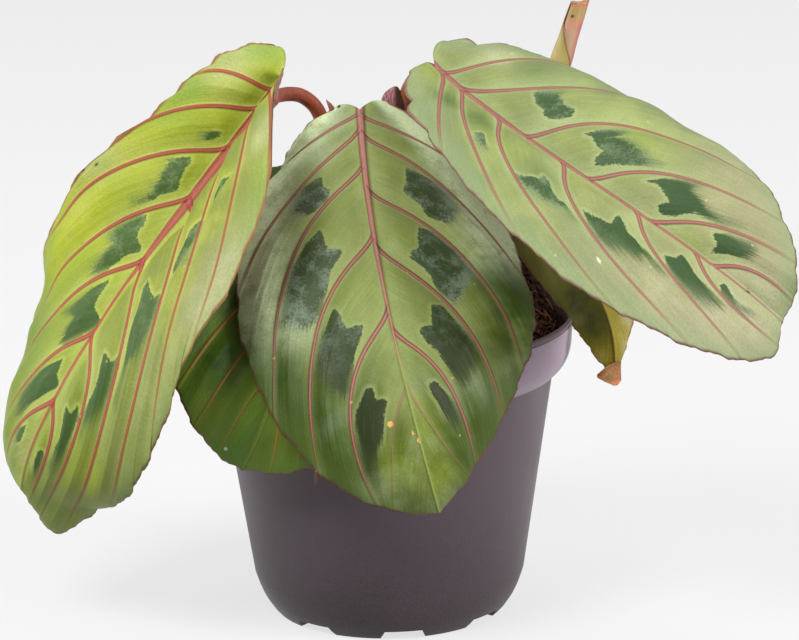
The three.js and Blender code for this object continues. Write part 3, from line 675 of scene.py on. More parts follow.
def leaf_half(blade, half, rng):
    """One half in rows that follow its side veins: flat points, the heights of both skins, attributes."""
    key, knots = blade.key, blade.veins(half)
    edge, _ = blade.margins[half]
    total = travelled(edge)[-1]
    taus = []
    for k, (here, there) in enumerate(zip(knots, knots[1:])):
        gap = max((there[0] - here[0]) * blade.length, (there[3] - here[3]) * total)
        count = 2 * max(2, math.ceil(gap / ROW_STEP / 2))
        taus += [k + i / count for i in range(count)]
    taus = np.array(taus + [len(knots) - 1.0])
    f = np.linspace(0, 1, COLUMNS + 1)[None, :]

    def drawn(rows):
        start, end = rows[:, 0:1] * blade.length, blade.margin(half, rows[:, 3])
        x = np.maximum(2 * rows[:, 1:2] * f * (1 - f) + end[:, 0:1] * f * f, 0)
        y = start * (1 - f) ** 2 + 2 * rows[:, 2:3] * f * (1 - f) + end[:, 1:2] * f * f
        rise = np.minimum(2.3, 0.5 * start) * np.clip((1 - rows[:, 0:1]) * 3.5, 0, 1)
        return x, y - rise * np.exp(-x / 1.7)

    rows = sampled(taus, np.arange(len(knots)), knots)
    x, y = drawn(rows)
    away, strength = np.full(x.shape, NO_VEIN), np.zeros(x.shape)
    for nearest in (np.floor(taus), np.ceil(taus)):
        vein = sampled(nearest, np.arange(len(knots)), knots)
        vein_x, vein_y = drawn(vein)
        slope_x, slope_y = np.gradient(vein_x, axis=1), np.gradient(vein_y, axis=1)
        gap = np.abs((x - vein_x) * slope_y - (y - vein_y) * slope_x)
        gap = np.where(vein[:, 4:5] > 0, gap / np.maximum(np.hypot(slope_x, slope_y), 1e-6), NO_VEIN)
        strength = np.where(gap < away, vein[:, 4:5], strength)
        away = np.minimum(away, gap)
    flat, shares = np.c_[x.ravel(), y.ravel()], np.broadcast_to(f, x.shape).ravel()
    outward, patch = nearest_patch(flat, shares, PATCHES.get((key, half), ""))
    places, marks = BLOTCHES.get((key, half), {}), MARKS.get((key, half), {})
    clouds = scattered(flat, places, ("pale", "deep", "warm"), 0.75, lambda d, a: a * np.exp(-(d**2)))
    spots = scattered(flat, marks, ("orange", "dark", "white"), 1.0, lambda d: np.clip(1.7 - d, 0, 1))
    rim = edge_distance(flat, edge).reshape(x.shape)
    swell = (1 - np.exp(-((away / 3.0) ** 2))) * np.clip(rim / 7, 0, 1) * np.clip(x / 5, 0, 1)
    quilt = blade.spec["quilt"] * swell + 0.05 * np.sin(taus * 37)[:, None] * np.clip(rim / 5, 0, 1) * swell
    # the ragged margin
    along, ragged = rows[:, 3] * total, np.zeros(len(taus))
    for period, height in RAGGED:
        ragged += height * np.sin(TURN * (along / period + rng.random()))
    for e, amount, width in NICKS.get((key, half), ()):
        ragged += amount * np.exp(-(((along - e * total) / width) ** 2))
    run = unit(blade.margin(half, rows[:, 3] + 0.004) - blade.margin(half, rows[:, 3] - 0.004))
    shift = ragged[:, None] * f**6 * np.clip((len(knots) - 1 - taus[:, None]) * 2, 0, 1)
    x = np.maximum(x + shift * run[:, 1:2], 0)
    y = y - shift * run[:, 0:1]
    # both skins: the sheet with its waves and quilting, and the ribs underneath
    lift = blade.wave(half, x, y) + quilt
    if (key, half) == ("left", "right"):
        beside = RIB_DIP * (x / 3.0) * np.exp(1 - x / 3.0)
        lift = lift - beside * np.clip((62 - y) / 20, 0, 1) * np.clip(y / 6, 0, 1)
    thin = HALF * (0.45 + 0.55 * np.clip(rim / 1.2, 0, 1))
    ridge = 0.75 * (1 - 0.8 * np.clip(y / blade.length, 0, 1)) * np.exp(-((x / 0.9) ** 2))
    ridge = ridge * np.clip(y / 5, 0.15, 1)
    ribs = 0.16 * np.exp(-((away / 0.5) ** 2)) * (1 - f) * strength
    side = -1 if half == "left" else 1
    tables = dict(
        vein=np.c_[away.ravel(), shares, strength.ravel()],
        near=np.c_[outward, rim.ravel(), patch],
        flat=np.c_[side * x.ravel(), y.ravel(), np.repeat(taus, COLUMNS + 1)],
        cloud=clouds,
        spot=spots,
    )
    return x, y, (lift + thin, lift - thin - ridge - ribs), tables


def make_leaf(key):
    blade, node = Blade(key), "leaf_" + key
    rng = np.random.default_rng(blade.spec["seed"])
    points, faces, kinds, told = [], [], [], {}
    for half in ("left", "right"):
        x, y, levels, tables = leaf_half(blade, half, rng)
        n, m = x.shape
        turned = slice(None, None, -1 if half == "left" else 1)
        base, low = len(points), len(points) + n * m
        for level in levels:
            points.extend(blade.put(half, x.ravel(), y.ravel(), level.ravel()) * MM)
            for name, values in tables.items():
                told.setdefault(name, []).extend(values)
        for i in range(n - 1):
            for a in range(i * m, i * m + m - 1):
                quad = (a, a + m, a + m + 1, a + 1)[turned]
                faces += [[base + v for v in quad], [low + v for v in quad[::-1]]]
                kinds += [0, 1]
        rim = [(i * m + m - 1, (i + 1) * m + m - 1) for i in range(n - 1)]
        for first, second in rim + [(j, j + 1) for j in range(m - 1)]:
            faces.append((base + first, base + second, low + second, low + first)[turned])
            kinds.append(0)
    thing = build(node + "_blade", points, faces, leaf_material(key), under_material(key))
    thing.data.polygons.foreach_set("material_index", kinds)
    attach(thing, told)
    face_outwards(thing.data, weld=True)
    thing.data.polygons.foreach_set("use_smooth", [True] * len(thing.data.polygons))
    return carry(thing, node)


PALETTES = {
    "front": dict(
        inner=(122, 134, 72), outer=(60, 74, 6), tip=(62, 78, 4), margin=(72, 90, 30),
        halo=(146, 156, 92), patch=(56, 74, 42), patch_grey=(112, 126, 108), low_patch=(32, 44, 8),
        vein=(116, 58, 56), rib=(170, 116, 104), rib_tip=(146, 158, 74), line=(118, 58, 54),
        warm=(126, 142, 26), deep=(40, 66, 14), sheen=(178, 192, 164), bloom=(206, 222, 172),
        dry_tip=(84, 58, 34),
        under=((112, 58, 62), (104, 84, 62), (130, 70, 72)), under_vein=(150, 70, 70),
        length=123, vein_width=0.52, rib_width=0.95, rib_turn=0.5, rib_end=0.64, halo_low=0.4,
    ),
    "left": dict(
        inner=(146, 158, 40), outer=(122, 150, 40), tip=(120, 138, 44), margin=(132, 154, 70),
        halo=(180, 190, 92), patch=(64, 92, 38), patch_grey=(106, 126, 82), low_patch=(54, 84, 32),
        vein=(150, 52, 48), rib=(174, 84, 74), rib_tip=(160, 152, 54), line=(136, 84, 58),
        warm=(170, 176, 10), deep=(90, 126, 36), sheen=(184, 180, 144), right_side=(126, 136, 60),
        under=((128, 92, 78), (124, 120, 74), (150, 110, 96)), under_vein=(168, 80, 76),
        length=128, vein_width=0.54, rib_width=0.95, rib_turn=0.84, rib_end=0.95, halo_low=0.8,
    ),
    "right": dict(
        inner=(122, 131, 78), outer=(118, 129, 86), tip=(138, 134, 98), margin=(122, 138, 98),
        halo=(150, 162, 110), patch=(50, 74, 36), patch_grey=(100, 118, 88), low_patch=(42, 68, 32),
        vein=(124, 66, 64), rib=(158, 102, 94), rib_tip=(152, 108, 96), line=(118, 74, 68),
        warm=(132, 146, 56), deep=(70, 96, 38), sheen=(182, 178, 148),
        under=((126, 78, 80), (116, 100, 78), (148, 104, 100)), under_vein=(164, 84, 84),
        length=118, vein_width=0.5, rib_width=0.95, rib_turn=0.8, rib_end=0.9, halo_low=0.8,
    ),
    "back_left": dict(
        inner=(102, 132, 36), outer=(80, 112, 24), tip=(78, 112, 20), margin=(80, 114, 26),
        halo=(112, 142, 44), patch=(42, 70, 18), patch_grey=(52, 80, 30), low_patch=(38, 64, 16),
        vein=(156, 94, 44), rib=(180, 124, 70), rib_tip=(124, 132, 50), line=(124, 60, 44),
        warm=(118, 134, 22), deep=(38, 66, 12), sheen=(126, 152, 84),
        under=((98, 56, 52), (86, 76, 44), (116, 66, 60)), under_vein=(140, 72, 62),
        length=103, vein_width=0.26, rib_width=0.3, rib_turn=0.3, rib_end=0.9, halo_low=0.5,
    ),
    "back_right": dict(
        inner=(146, 150, 44), outer=(142, 148, 42), tip=(136, 122, 26), margin=(124, 118, 28),
        halo=(132, 130, 32), patch=(66, 78, 18), patch_grey=(80, 88, 34), low_patch=(62, 74, 18),
        vein=(112, 96, 26), rib=(104, 74, 30), rib_tip=(96, 62, 30), line=(136, 80, 44),
        warm=(158, 142, 16), deep=(70, 78, 14), sheen=(224, 216, 196),
        under=((150, 92, 44), (122, 78, 34), (168, 112, 60)), under_vein=(112, 60, 36),
        length=57, vein_width=0.12, rib_width=0.34, rib_turn=0.9, rib_end=0.95, halo_low=0.3,
    ),
}


def leaf_material(key):
    c = SimpleNamespace(**PALETTES[key])
    g = Graph(f"leaf_{key}_top", c.inner)
    away, f, strength = g.attribute("vein")
    outward, rim, patch = g.attribute("near")
    x, y, tau = g.attribute("flat")
    pale, deep, warm = g.attribute("cloud")
    orange, dark_spot, white = g.attribute("spot")
    across, half, part = g.math("ABSOLUTE", x), g.math("SIGN", x), g.math("FRACT", tau)
    share, where = y / c.length, g.join(x, y, 0.0)
    broad, middle = g.noise(where, 0.07, 3.0), g.noise(where, 0.28, 3.0)
    fine, grain = g.noise(where, 1.6, 4.0, 0.65), g.noise(where, 4.5, 3.0, 0.7)
    streaks = g.noise(g.join(tau * 17.0, f * 2.4, half), 1.0, 4.0, 0.65)
    hair = g.noise(g.join(tau * 52.0, f * 5.0, half), 1.0, 3.0, 0.6)
    brushed = g.noise(g.join(tau * 30.0, f * 2.0, half), 1.0, 3.0, 0.7)
    g.paint((f + (middle - 0.5) * 0.5).span(0.2, 0.8), c.outer)
    # painted sheen: the right half of the left leaf painted greyer, as it faces the light
    if key == "left":
        g.paint(x.span(-1.0, 6.0), c.right_side)
    g.paint(broad.span(0.42, 0.66) * 0.5, c.warm)
    g.paint((share + (broad - 0.5) * 0.35).span(0.4, 0.8) * 0.92, c.tip)
    g.paint(rim.span(7.0, 0.5) * 0.6, c.margin)
    # pale herringbone beside each side vein and beside the midrib
    halo = g.math("MAXIMUM", part.span(0.5, 0.95) * f.span(0.85, 0.35), across.span(4.0, 1.4) * 0.7)
    halo = halo * (middle.span(0.2, 0.6, 0.6, 1.0) * share.span(0.3, 0.9, 1.0, c.halo_low))
    g.paint(halo * 0.7, c.halo)
    # cloudy places, broken up by noise: the warm places and most deep places are the leaf's own mottling, a
    # few deep places are painted shade
    cloudy = (middle + fine * 0.6).span(0.4, 1.0, 0.45, 1.25, False)
    g.paint((warm * cloudy).most(1.0), c.warm)
    g.paint((deep * cloudy).most(1.0), c.deep)
    # painted sheen: pale flecks along the streaks, then the pale places, fading down the blade, which also
    # carry some pale mottling of the leaf's own
    g.paint((broad + streaks * 0.35).span(0.66, 0.84) * 0.12, c.sheen)
    g.paint((pale * (cloudy * share.span(0.4, 0.62, 0.75, 0.25))).most(0.72), c.sheen)
    if key == "front":
        # painted light: the upper margins painted paler where they curve away into shade
        bloom = f.span(0.3, 0.75) * (share + x.span(-1.0, 1.0) * 0.12).span(0.56, 0.38)
        bloom = bloom * (middle + fine * 0.4).span(0.4, 0.85, 0.45, 1.0) * share.span(0.22, 0.42, 0.95, 0.55)
        g.paint((bloom * x.span(-1.0, 1.0, 1.0, 1.5)).most(0.95), c.bloom)
    # hairlines that run with the side veins
    g.paint(streaks.span(0.52, 0.78) * 0.16, c.halo)
    g.paint(hair.span(0.5, 0.66) * 0.13, c.deep)
    g.paint(hair.span(0.46, 0.34) * 0.1, c.halo)
    # dark patches: crisp teeth on the inner side, brushed out along the veins on the outer side
    out = outward.span(0.38, 1.05)
    inner = 1.0 - out
    jag = (brushed - 0.5) * out.span(0.0, 1.0, 1.3, 7.5, False)
    depth = patch + jag + (fine - 0.5) * 0.9
    covered = (depth / out.span(0.0, 1.0, 0.16, 1.9, False)).span(1.0, -1.0)
    g.paint(depth.span(1.3, 0.2) * inner * 0.5, c.halo)
    clouded = middle * 0.9 + ((fine - 0.5) * 0.7 + out * 0.16)
    dark = g.mix(clouded.span(0.4, 0.66), c.patch, c.patch_grey)
    dark = g.mix(share.span(0.42, 0.62), dark, c.low_patch)
    dark = g.mix(depth.span(-0.2, -1.6) * (inner * 0.35), dark, c.low_patch)
    dark = g.mix(streaks.span(0.5, 0.75) * 0.14, dark, c.patch_grey)
    dark = g.mix(hair.span(0.5, 0.66) * 0.14, dark, c.low_patch)
    g.paint(covered * out.span(0.4, 1.0, 0.97, 0.8, False), dark)
    # side veins, lighter at their centre: a painted highlight along each raised vein
    wander = (middle - 0.5) * 0.3 + 1.0
    width = f.span(0.0, 1.0, c.vein_width, 0.22, False) * strength.span(0.0, 1.0, 0.3, 1.0, False) * wander
    g.paint(away.span(1.8, 0.5) * strength * f.span(0.1, 0.75, 0.4, 0.1), c.halo)
    edge = away - width
    vein = edge.span(0.22, -0.12) * (strength.span(0.0, 0.8) * f.span(1.0, 0.82, 0.25, 1.0))
    vein_colour = g.mix((away / width).span(0.75, 0.0), c.vein, c.rib)
    vein_colour = g.mix(fine.span(0.35, 0.75) * 0.35, vein_colour, c.vein)
    vein_colour = g.mix(f.span(0.6, 0.98) * 0.3, vein_colour, c.outer)
    g.paint(vein * 0.94, vein_colour)
    # the midrib, lighter at its centre as a painted highlight, and the fine line round the margin
    rib_width = share.span(0.0, c.rib_end, c.rib_width, 0.14, False) * wander
    rib_edge = across - rib_width
    rib_colour = g.mix((across / rib_width).span(0.3, 1.0), c.rib, c.vein)
    rib_colour = g.mix(share.span(c.rib_turn, c.rib_turn + 0.14), rib_colour, c.rib_tip)
    g.paint(rib_edge.span(0.22, -0.14) * share.span(0.8, 1.0, 0.94, 0.5), rib_colour)
    g.paint(rim.span(0.55, 0.15) * 0.85, c.line)
    if key == "front":
        g.paint((share + fine * 0.02).span(0.985, 1.01) * 0.8, c.dry_tip)
    # specks, small spots and grain
    g.paint(g.cells(where, 0.12).span(0.05, 0.028) * 0.5, (196, 176, 132))
    g.paint(orange.span(0.2, 0.75), (224, 166, 92))
    g.paint(dark_spot.span(0.25, 0.8), (62, 48, 30))
    g.paint(white.span(0.2, 0.9) * 0.75, (220, 220, 204))
    light = (grain * 0.6 + fine * 0.4).span(0.3, 0.7, 0.76, 1.22, False)
    g.paint(1.0, g.join(light, light, light), "MULTIPLY")
    # relief: raised veins between shallow furrows, with fine lines between them
    raised = edge.span(0.4, -0.25) * (strength * f.span(0.0, 1.0, 0.34, 0.16, False))
    raised = raised + rib_edge.span(0.6, -0.3) * 0.34
    height = raised + (streaks * 0.1 + (hair * 0.045 + (fine * 0.12 + grain * 0.04)))
    return g.finish(middle.span(0.3, 0.7, 0.36, 0.48) + fine * 0.1, height, 0.24)


def under_material(key):
    c = SimpleNamespace(**PALETTES[key])
    g = Graph(f"leaf_{key}_under", c.under[0])
    away, f, strength = g.attribute("vein")
    x, y, tau = g.attribute("flat")
    where = g.join(x, y, 0.0)
    fine, broad = g.noise(where, 1.3, 4.0, 0.6), g.noise(where, 0.09, 3.0)
    hair = g.noise(g.join(tau * 40.0, f * 3.0, g.math("SIGN", x)), 1.0, 2.0)
    g.paint(broad.span(0.35, 0.65), c.under[1])
    g.paint(hair * 0.3, c.under[2])
    g.paint((away - f.span(0.0, 1.0, 0.6, 0.2, False)).span(0.3, -0.1) * strength, c.under_vein)
    g.paint(g.math("ABSOLUTE", x).span(1.7, 0.9), c.under_vein)
    return g.finish(fine.span(0.2, 0.8, 0.5, 0.62), hair * 0.05 + fine * 0.08, 0.4)


for key in LEAVES:
    make_leaf(key)

# The dry, curled tip of the back right leaf: a cupped tongue between two edges, root to end

CURL_TOP = [(55.9, -17.6, 65.2), (53.4, -18.8, 64.9), (51.6, -20.0, 64.0), (50.0, -19.8, 62.5)]
CURL_LOW = [(55.9, -17.8, 60.6), (54.6, -19.6, 59.8), (52.2, -20.6, 60.9), (50.1, -20.0, 61.9)]
CURL_COLUMNS = 15
CURL_CUP, CURL_THICKNESS = 1.5, 0.35


def curl_material():
    g = Graph("dry_leaf_tip", (122, 92, 44))
    where = g.place()
    fine = g.noise(where, 1400.0, 4.0, 0.65)
    g.paint(g.noise(where, 420.0, 3.0).span(0.35, 0.65), (160, 100, 58))
    g.paint(fine.span(0.45, 0.7) * 0.5, (190, 140, 96))
    g.paint(g.split(where)[2].span(0.0612, 0.0602), (196, 118, 84))
    return g.finish(0.55, fine * 0.3, 0.35)


def make_curl():
    top, low = smooth_line(CURL_TOP, 10), smooth_line(CURL_LOW, 10)
    points = []
    for skin in (0, 1):
        for k, (high, deep) in enumerate(zip(top, low)):
            for v in np.linspace(0, 1, CURL_COLUMNS):
                cup = CURL_CUP * math.sin(math.pi * v) * (1 - 0.4 * k / (len(top) - 1))
                back = np.array([0.0, cup - 0.9 + skin * CURL_THICKNESS, 0.0])
                points.append((high * (1 - v) + deep * v + back) * MM)
    faces = sheet_faces(len(top), CURL_COLUMNS)
    return carry(build("leaf_back_right_curl", points, faces, curl_material()), "leaf_back_right")


make_curl()

# Pot

FOOT = [(0, 0), (9, 0), (9.8, 2.4), (24, 2.4), (24.8, 0), (28, 0)]
POT_OUTSIDE = [
    (28.9, 1.0), (30.6, 3.6), (31.9, 6.5), (32.9, 9.5), (40.4, 59.1), (41.8, 59.9), (43.6, 62.0),
    (44.7, 64.8), (45.1, 69),
]
LIP = [
    (45.4, 71.7), (44.9, 71.95), (44.9, 72.25), (45.5, 72.4), (45.6, 73.0), (45.5, 73.3), (45.2, 73.4),
    (44.8, 73.4),
]
POT_INSIDE = [
    (44.5, 73), (44.0, 69.1), (43.6, 65.2), (42.6, 62.8), (41.1, 61.0), (39.4, 60.0), (31.8, 9.8),
    (30.8, 7.0), (29.5, 4.9), (28, 3.5),
]
NOTCHES, FIRST_NOTCH = 8, 6.2
DRAIN_RADIUS, DRAIN_PLACE, DRAIN_SIDES = 2.5, -19, 28


def pot_material():
    g = Graph("pot_plastic", (24, 12, 11))
    where = g.place()
    grain, cloud = g.noise(where, 2600.0, 3.0, 0.6), g.noise(where, 45.0, 3.0)
    drawn = g.noise(g.drawn_out(where, 0.12), 260.0, 3.0)
    level = g.split(where)[2]
    # painted shade: the plastic darker towards the bottom
    g.paint(level.span(0.0, 0.075, smooth=False), (106, 92, 102))
    # painted light: the collar lighter
    g.paint(level.span(0.0585, 0.0605), (164, 145, 160))
    g.paint(level.span(0.0718, 0.0723), (98, 84, 82))
    g.paint(cloud.span(0.3, 0.7) * 0.2, (84, 70, 78))
    g.paint(grain.span(0.4, 0.7) * 0.2, (102, 88, 98))
    rough = (cloud + grain * 0.3).span(0.4, 0.9, 0.4, 0.5)
    return g.finish(rough, grain * 0.05 + drawn * 0.03, 0.38)


def turned(points, angle, centre=(0, 0, 0)):
    """Millimetre points turned about the vertical and then moved to a centre, in metres."""
    c, s = math.cos(angle), math.sin(angle)
    cx, cy, cz = centre
    return [((cx + x * c - y * s) * MM, (cy + x * s + y * c) * MM, (cz + z) * MM) for x, y, z in points]


def rounded(points, steps):
    return [tuple(p) for p in smooth_line(points, steps)]


def pot_cutters():
    """The notches of the foot ring and a round drain hole inside each."""
    notch = [(x, y, z) for y in (-31.6, -23.6) for x, z in ((-5.8, -1), (5.8, -1), (4.5, 2.2), (-4.5, 2.2))]
    notch_walls = [(0, 1, 2, 3), (7, 6, 5, 4), (0, 4, 5, 1), (1, 5, 6, 2), (2, 6, 7, 3), (3, 7, 4, 0)]
    n, hole = DRAIN_SIDES, []
    for z in (1.0, 4.5):
        for a in [TURN * k / n for k in range(n)]:
            hole.append((DRAIN_RADIUS * math.cos(a), DRAIN_PLACE + DRAIN_RADIUS * math.sin(a), z))
    hole_walls = [(k, (k + 1) % n, n + (k + 1) % n, n + k) for k in range(n)]
    hole_walls += [tuple(range(n - 1, -1, -1)), tuple(range(n, 2 * n))]
    parts = []
    for i in range(NOTCHES):
        angle = math.radians(FIRST_NOTCH + i * 360 // NOTCHES)
        parts += [(turned(notch, angle), notch_walls), (turned(hole, angle), hole_walls)]
    return stitch(parts)


def make_pot():
    profile = FOOT + rounded(POT_OUTSIDE[:4], 3) + rounded(POT_OUTSIDE[4:], 5) + LIP
    profile += rounded(POT_INSIDE[:6], 5) + rounded(POT_INSIDE[6:], 3) + [(0, 3.5)]
    plastic = pot_material()
    pot = build("pot_shell", *rotated(profile, 192), plastic)
    cutter = build("pot_cutter", *pot_cutters(), plastic, smooth=False)
    for thing in (pot, cutter):
        face_outwards(thing.data)
    cut = pot.modifiers.new("cut", "BOOLEAN")
    cut.object = cutter
    cut.operation = "DIFFERENCE"
    cut.solver = "EXACT"
    bpy.context.view_layer.update()
    carved = bpy.data.meshes.new_from_object(pot.evaluated_get(bpy.context.evaluated_depsgraph_get()))
    pot.modifiers.clear()
    pot.data = carved
    bpy.data.objects.remove(cutter)
    carved.polygons.foreach_set("use_smooth", [True] * len(carved.polygons))
    carved.set_sharp_from_angle(angle=math.radians(38))
    return carry(pot, "pot")


make_pot()

# Soil: a rough dark top with crumbs and fibres

SOIL_TOP, SOIL_RADIUS, SOIL_FLOOR = 70.0, 43.2, 3.95
SOIL_RINGS, KNOLLS = 46, 260
CRUMBS_ALL_OVER, CRUMBS = 900, 2200
STRANDS_ALL_OVER, STRANDS = 260, 380


def soil_material():
    g = Graph("soil_compost", (12, 8, 5))
    where = g.place()
    fine, lumps = g.noise(where, 900.0, 5.0, 0.7), g.cells(where, 420.0)
    g.paint(fine.span(0.38, 0.66), (62, 38, 26))
    g.paint(g.noise(where, 90.0, 3.0).span(0.45, 0.7) * 0.5, (30, 17, 11))
    g.paint(lumps.span(0.1, 0.02), (84, 54, 34))
    return g.finish(0.93, fine * 0.5 + lumps * 0.3, 0.08)


def fibre_material():
    g = Graph("soil_fibre", (56, 31, 19))
    fine = g.noise(g.place(), 700.0, 3.0)
    g.paint(fine.span(0.3, 0.7), (122, 77, 48))
    return g.finish(0.85, fine * 0.1, 0.2)


random.seed(21)
soil_rng = np.random.default_rng(17)
knolls = soil_rng.uniform(-SOIL_RADIUS, SOIL_RADIUS, (KNOLLS, 2))
knoll_size = soil_rng.uniform(1.2, 4.2, KNOLLS)
knoll_height = soil_rng.uniform(-0.8, 1.5, KNOLLS)


def soil_height(x, y):
    """A slight heap with a bank on it behind the front leaf, and small knolls all over."""
    heap = 5.5 * np.exp(-(((x - 31) / 13) ** 2 + ((y - 20) / 13) ** 2))
    rim = min(1.0, (SOIL_RADIUS - math.hypot(x, y)) / 5)
    bank = 8.5 * np.exp(-(((x - 35) / 7) ** 2 + ((y - 17) / 9) ** 2)) * min(1.0, 1.8 * rim)
    near = np.exp(-((knolls[:, 0] - x) ** 2 + (knolls[:, 1] - y) ** 2) / knoll_size**2)
    return SOIL_TOP - 0.5 + bank + (heap + float((near * knoll_height).sum())) * (0.3 + 0.7 * rim)


def soil_plug():
    wall = [(r - 0.45, z) for r, z in reversed(POT_INSIDE[1:])]
    wall[0] = (wall[0][0], SOIL_FLOOR)
    rings = [(0, SOIL_FLOOR)] + wall + [(SOIL_RADIUS, SOIL_TOP - 0.6)]
    rings += [(SOIL_RADIUS - k * SOIL_RADIUS / SOIL_RINGS, SOIL_TOP) for k in range(1, SOIL_RINGS)]
    points, faces = rotated(rings + [(0, SOIL_TOP)], 120)
    top = (SOIL_TOP - 0.1) * MM
    return [(x, y, soil_height(x / MM, y / MM) * MM if z > top else z) for x, y, z in points], faces


def crumb(x, y, size, squash):
    work = bmesh.new()
    bmesh.ops.create_icosphere(work, subdivisions=1, radius=size)
    spin = random.uniform(0, math.pi)
    points = []
    for v in work.verts:
        k = 1 + random.uniform(-0.3, 0.3)
        points.append((v.co.x * k * random.uniform(0.8, 1.3), v.co.y * k, v.co.z * squash * k))
    faces = [tuple(v.index for v in f.verts) for f in work.faces]
    work.free()
    return turned(points, spin, (x, y, soil_height(x, y) + size * 0.25)), faces


def on_soil(inset):
    r, a = (SOIL_RADIUS - inset) * math.sqrt(random.random()), random.uniform(0, TURN)
    return r * math.cos(a), r * math.sin(a)


def crumbs():
    parts = []
    while len(parts) < CRUMBS_ALL_OVER:
        parts.append(crumb(*on_soil(2.2), random.uniform(0.3, 1.0), random.uniform(0.5, 0.95)))
    while len(parts) < CRUMBS:
        x, y = random.uniform(18, 42), random.uniform(-28, 30)
        if math.hypot(x, y) < SOIL_RADIUS - 1.4:
            parts.append(crumb(x, y, random.uniform(0.25, 0.7), random.uniform(0.5, 0.95)))
    return stitch(parts)


def strands():
    parts = []
    for n in range(STRANDS):
        x, y = on_soil(6)
        if n >= STRANDS_ALL_OVER:
            x, y = random.gauss(36, 3.5), random.gauss(-4, 6)
        heading, bend = random.uniform(0, TURN), random.uniform(-0.6, 0.6)
        step = random.uniform(0.8, 1.7)
        path = []
        for k in range(5):
            path.append((x, y, soil_height(x, y) + 0.35 + 0.5 * math.sin(k * 1.3)))
            x += step * math.cos(heading)
            y += step * math.sin(heading)
            heading += bend
        if max(math.hypot(p[0], p[1]) for p in path) < SOIL_RADIUS - 1.5:
            thick = random.uniform(0.1, 0.26)
            parts.append(swept(path, [thick * share for share in (1, 1, 0.9, 0.8, 0.5)], 6, 3))
    return stitch(parts)


compost = soil_material()
carry(build("soil_plug", *soil_plug(), compost), "soil")
carry(build("soil_crumbs", *crumbs(), compost), "soil")
carry(build("soil_fibres", *strands(), fibre_material()), "soil")

# Stalks: the path and the radii of each, in millimetres


def stalk_material(name, low, high, blush):
    g = Graph(name, low)
    where = g.place()
    lines = g.noise(g.drawn_out(where, 0.18), 1500.0, 4.0, 0.6)
    fine = g.noise(where, 2200.0, 3.0)
    g.paint(g.noise(where, 160.0, 3.0).span(0.3, 0.7), high)
    g.paint(lines.span(0.5, 0.75) * 0.5, blush)
    return g.finish(fine.span(0.2, 0.8, 0.4, 0.52), lines * 0.12 + fine * 0.04, 0.5)


def under_rib(key, *stops):
    """Points below the rib of a blade, from (place along it, depth) pairs."""
    blade, points = Blade(key), []
    for y, depth in stops:
        _, spot, _, normal = blade.frame(np.array([float(y)]))
        points.append(tuple(spot[0] - normal[0] * depth))
    return points


def ripple(angle, share):
    return 1 + 0.025 * math.sin(angle * 5 + share * 9) + 0.02 * math.sin(angle * 9 - share * 14)


def stalks(name, node, material, *routes, sides=20, steps=8):
    parts = [swept(path, radii, sides, steps, ripple) for path, radii in routes]
    return carry(build(name, *stitch(parts), material), node)


stalk_left = stalk_material("stalk_left", (128, 54, 32), (160, 76, 46), (160, 104, 104))
stalk_right = stalk_material("stalk_right", (112, 58, 38), (158, 92, 58), (176, 124, 108))
stalk_dry = stalk_material("stalk_dry", (62, 32, 24), (86, 46, 34), (104, 62, 50))
stalks(
    "left_stalks", "shoot_left", stalk_left,
    ([(-9, 7, 42.5), (-9, 7, 56), (-9, 7, 72), (-9.5, 7, 84), (-10.5, 7, 93)], [2.5, 2.55, 2.6, 2.55, 2.1]),
    ([(-10.4, 7, 88), (-12, 6.8, 103), (-13.6, 6.5, 115.5), (-15.2, 6.1, 121.8), (-18.4, 4.3, 125.6),
      (-21.8, 1.2, 127), (-24.8, -2.4, 127.3), *under_rib("left", (4.5, 1.5), (8.0, 1.0))],
     [2.0, 1.85, 1.8, 1.78, 1.76, 1.72, 1.6, 1.25, 0.9]),
    ([(-10, 7, 88), (-7.5, 7, 104), (-6, 5.2, 114.5), (-5.2, 1.0, 119.6),
      *under_rib("front", (1.0, 2.4), (5.0, 1.0))], [1.9, 1.75, 1.7, 1.65, 1.4, 0.9]),
    ([(-10.2, 7, 86), (-12, 6, 96), (-14.5, 3, 103.5),
      *under_rib("back_left", (-3.5, 2.2), (0.5, 1.4), (4.0, 0.9))], [1.7, 1.6, 1.5, 1.45, 1.2, 0.8]),
)
stalks(
    "leaf_front_stub", "leaf_front", stalk_dry,
    ([(-16.2, -59.45, 52.3), (-16.25, -59.4, 51.0), (-16.4, -59.2, 48.7)], [0.36, 0.4, 0.26]),
    sides=10, steps=4,
)
stalks(
    "leaf_front_spur", "leaf_front", stalk_right,
    ([(-11.6, -1.15, 123.6), (-12.2, -1.1, 124.8), (-13.0, -1.0, 126.0)], [0.75, 0.5, 0.08]),
    sides=12, steps=4,
)
stalks(
    "right_stalks", "shoot_right", stalk_right,
    ([(8, 7, 42.5), (8, 7, 56), (8, 7, 72), (7.6, 7, 82), (6.8, 7, 92)], [2.5, 2.55, 2.6, 2.5, 2.0]),
    ([(7, 7, 86), (6.2, 6.8, 103), (5.5, 6, 117), (5.8, 4.2, 125), (7.8, 0.8, 130.2),
      *under_rib("right", (-3.0, 2.2), (0.5, 1.4), (4.0, 0.9))],
     [1.8, 1.7, 1.65, 1.6, 1.55, 1.5, 1.25, 0.85]),
    ([(8, 7, 74), (11.5, 8.5, 82), (18, 9.5, 88), (24.5, 10.8, 92.3),
      *under_rib("back_right", (-2.5, 1.9), (0.5, 1.2), (3.5, 0.8))],
     [1.5, 1.45, 1.4, 1.35, 1.25, 1.0, 0.6]),
)
stalks(
    "rolled_stalk", "shoot_rolled", stalk_right,
    ([(22, 19, 42.5), (22, 19, 64), (22.2, 19, 79), (28.8, 18, 92), (36.9, 17.05, 109.2),
      (37.8, 16.9, 112.5)],
     [1.9, 1.9, 1.95, 1.9, 1.75, 1.2]),
)

# Rolled young leaf: a sheet wound about its axis, its top cut slantwise

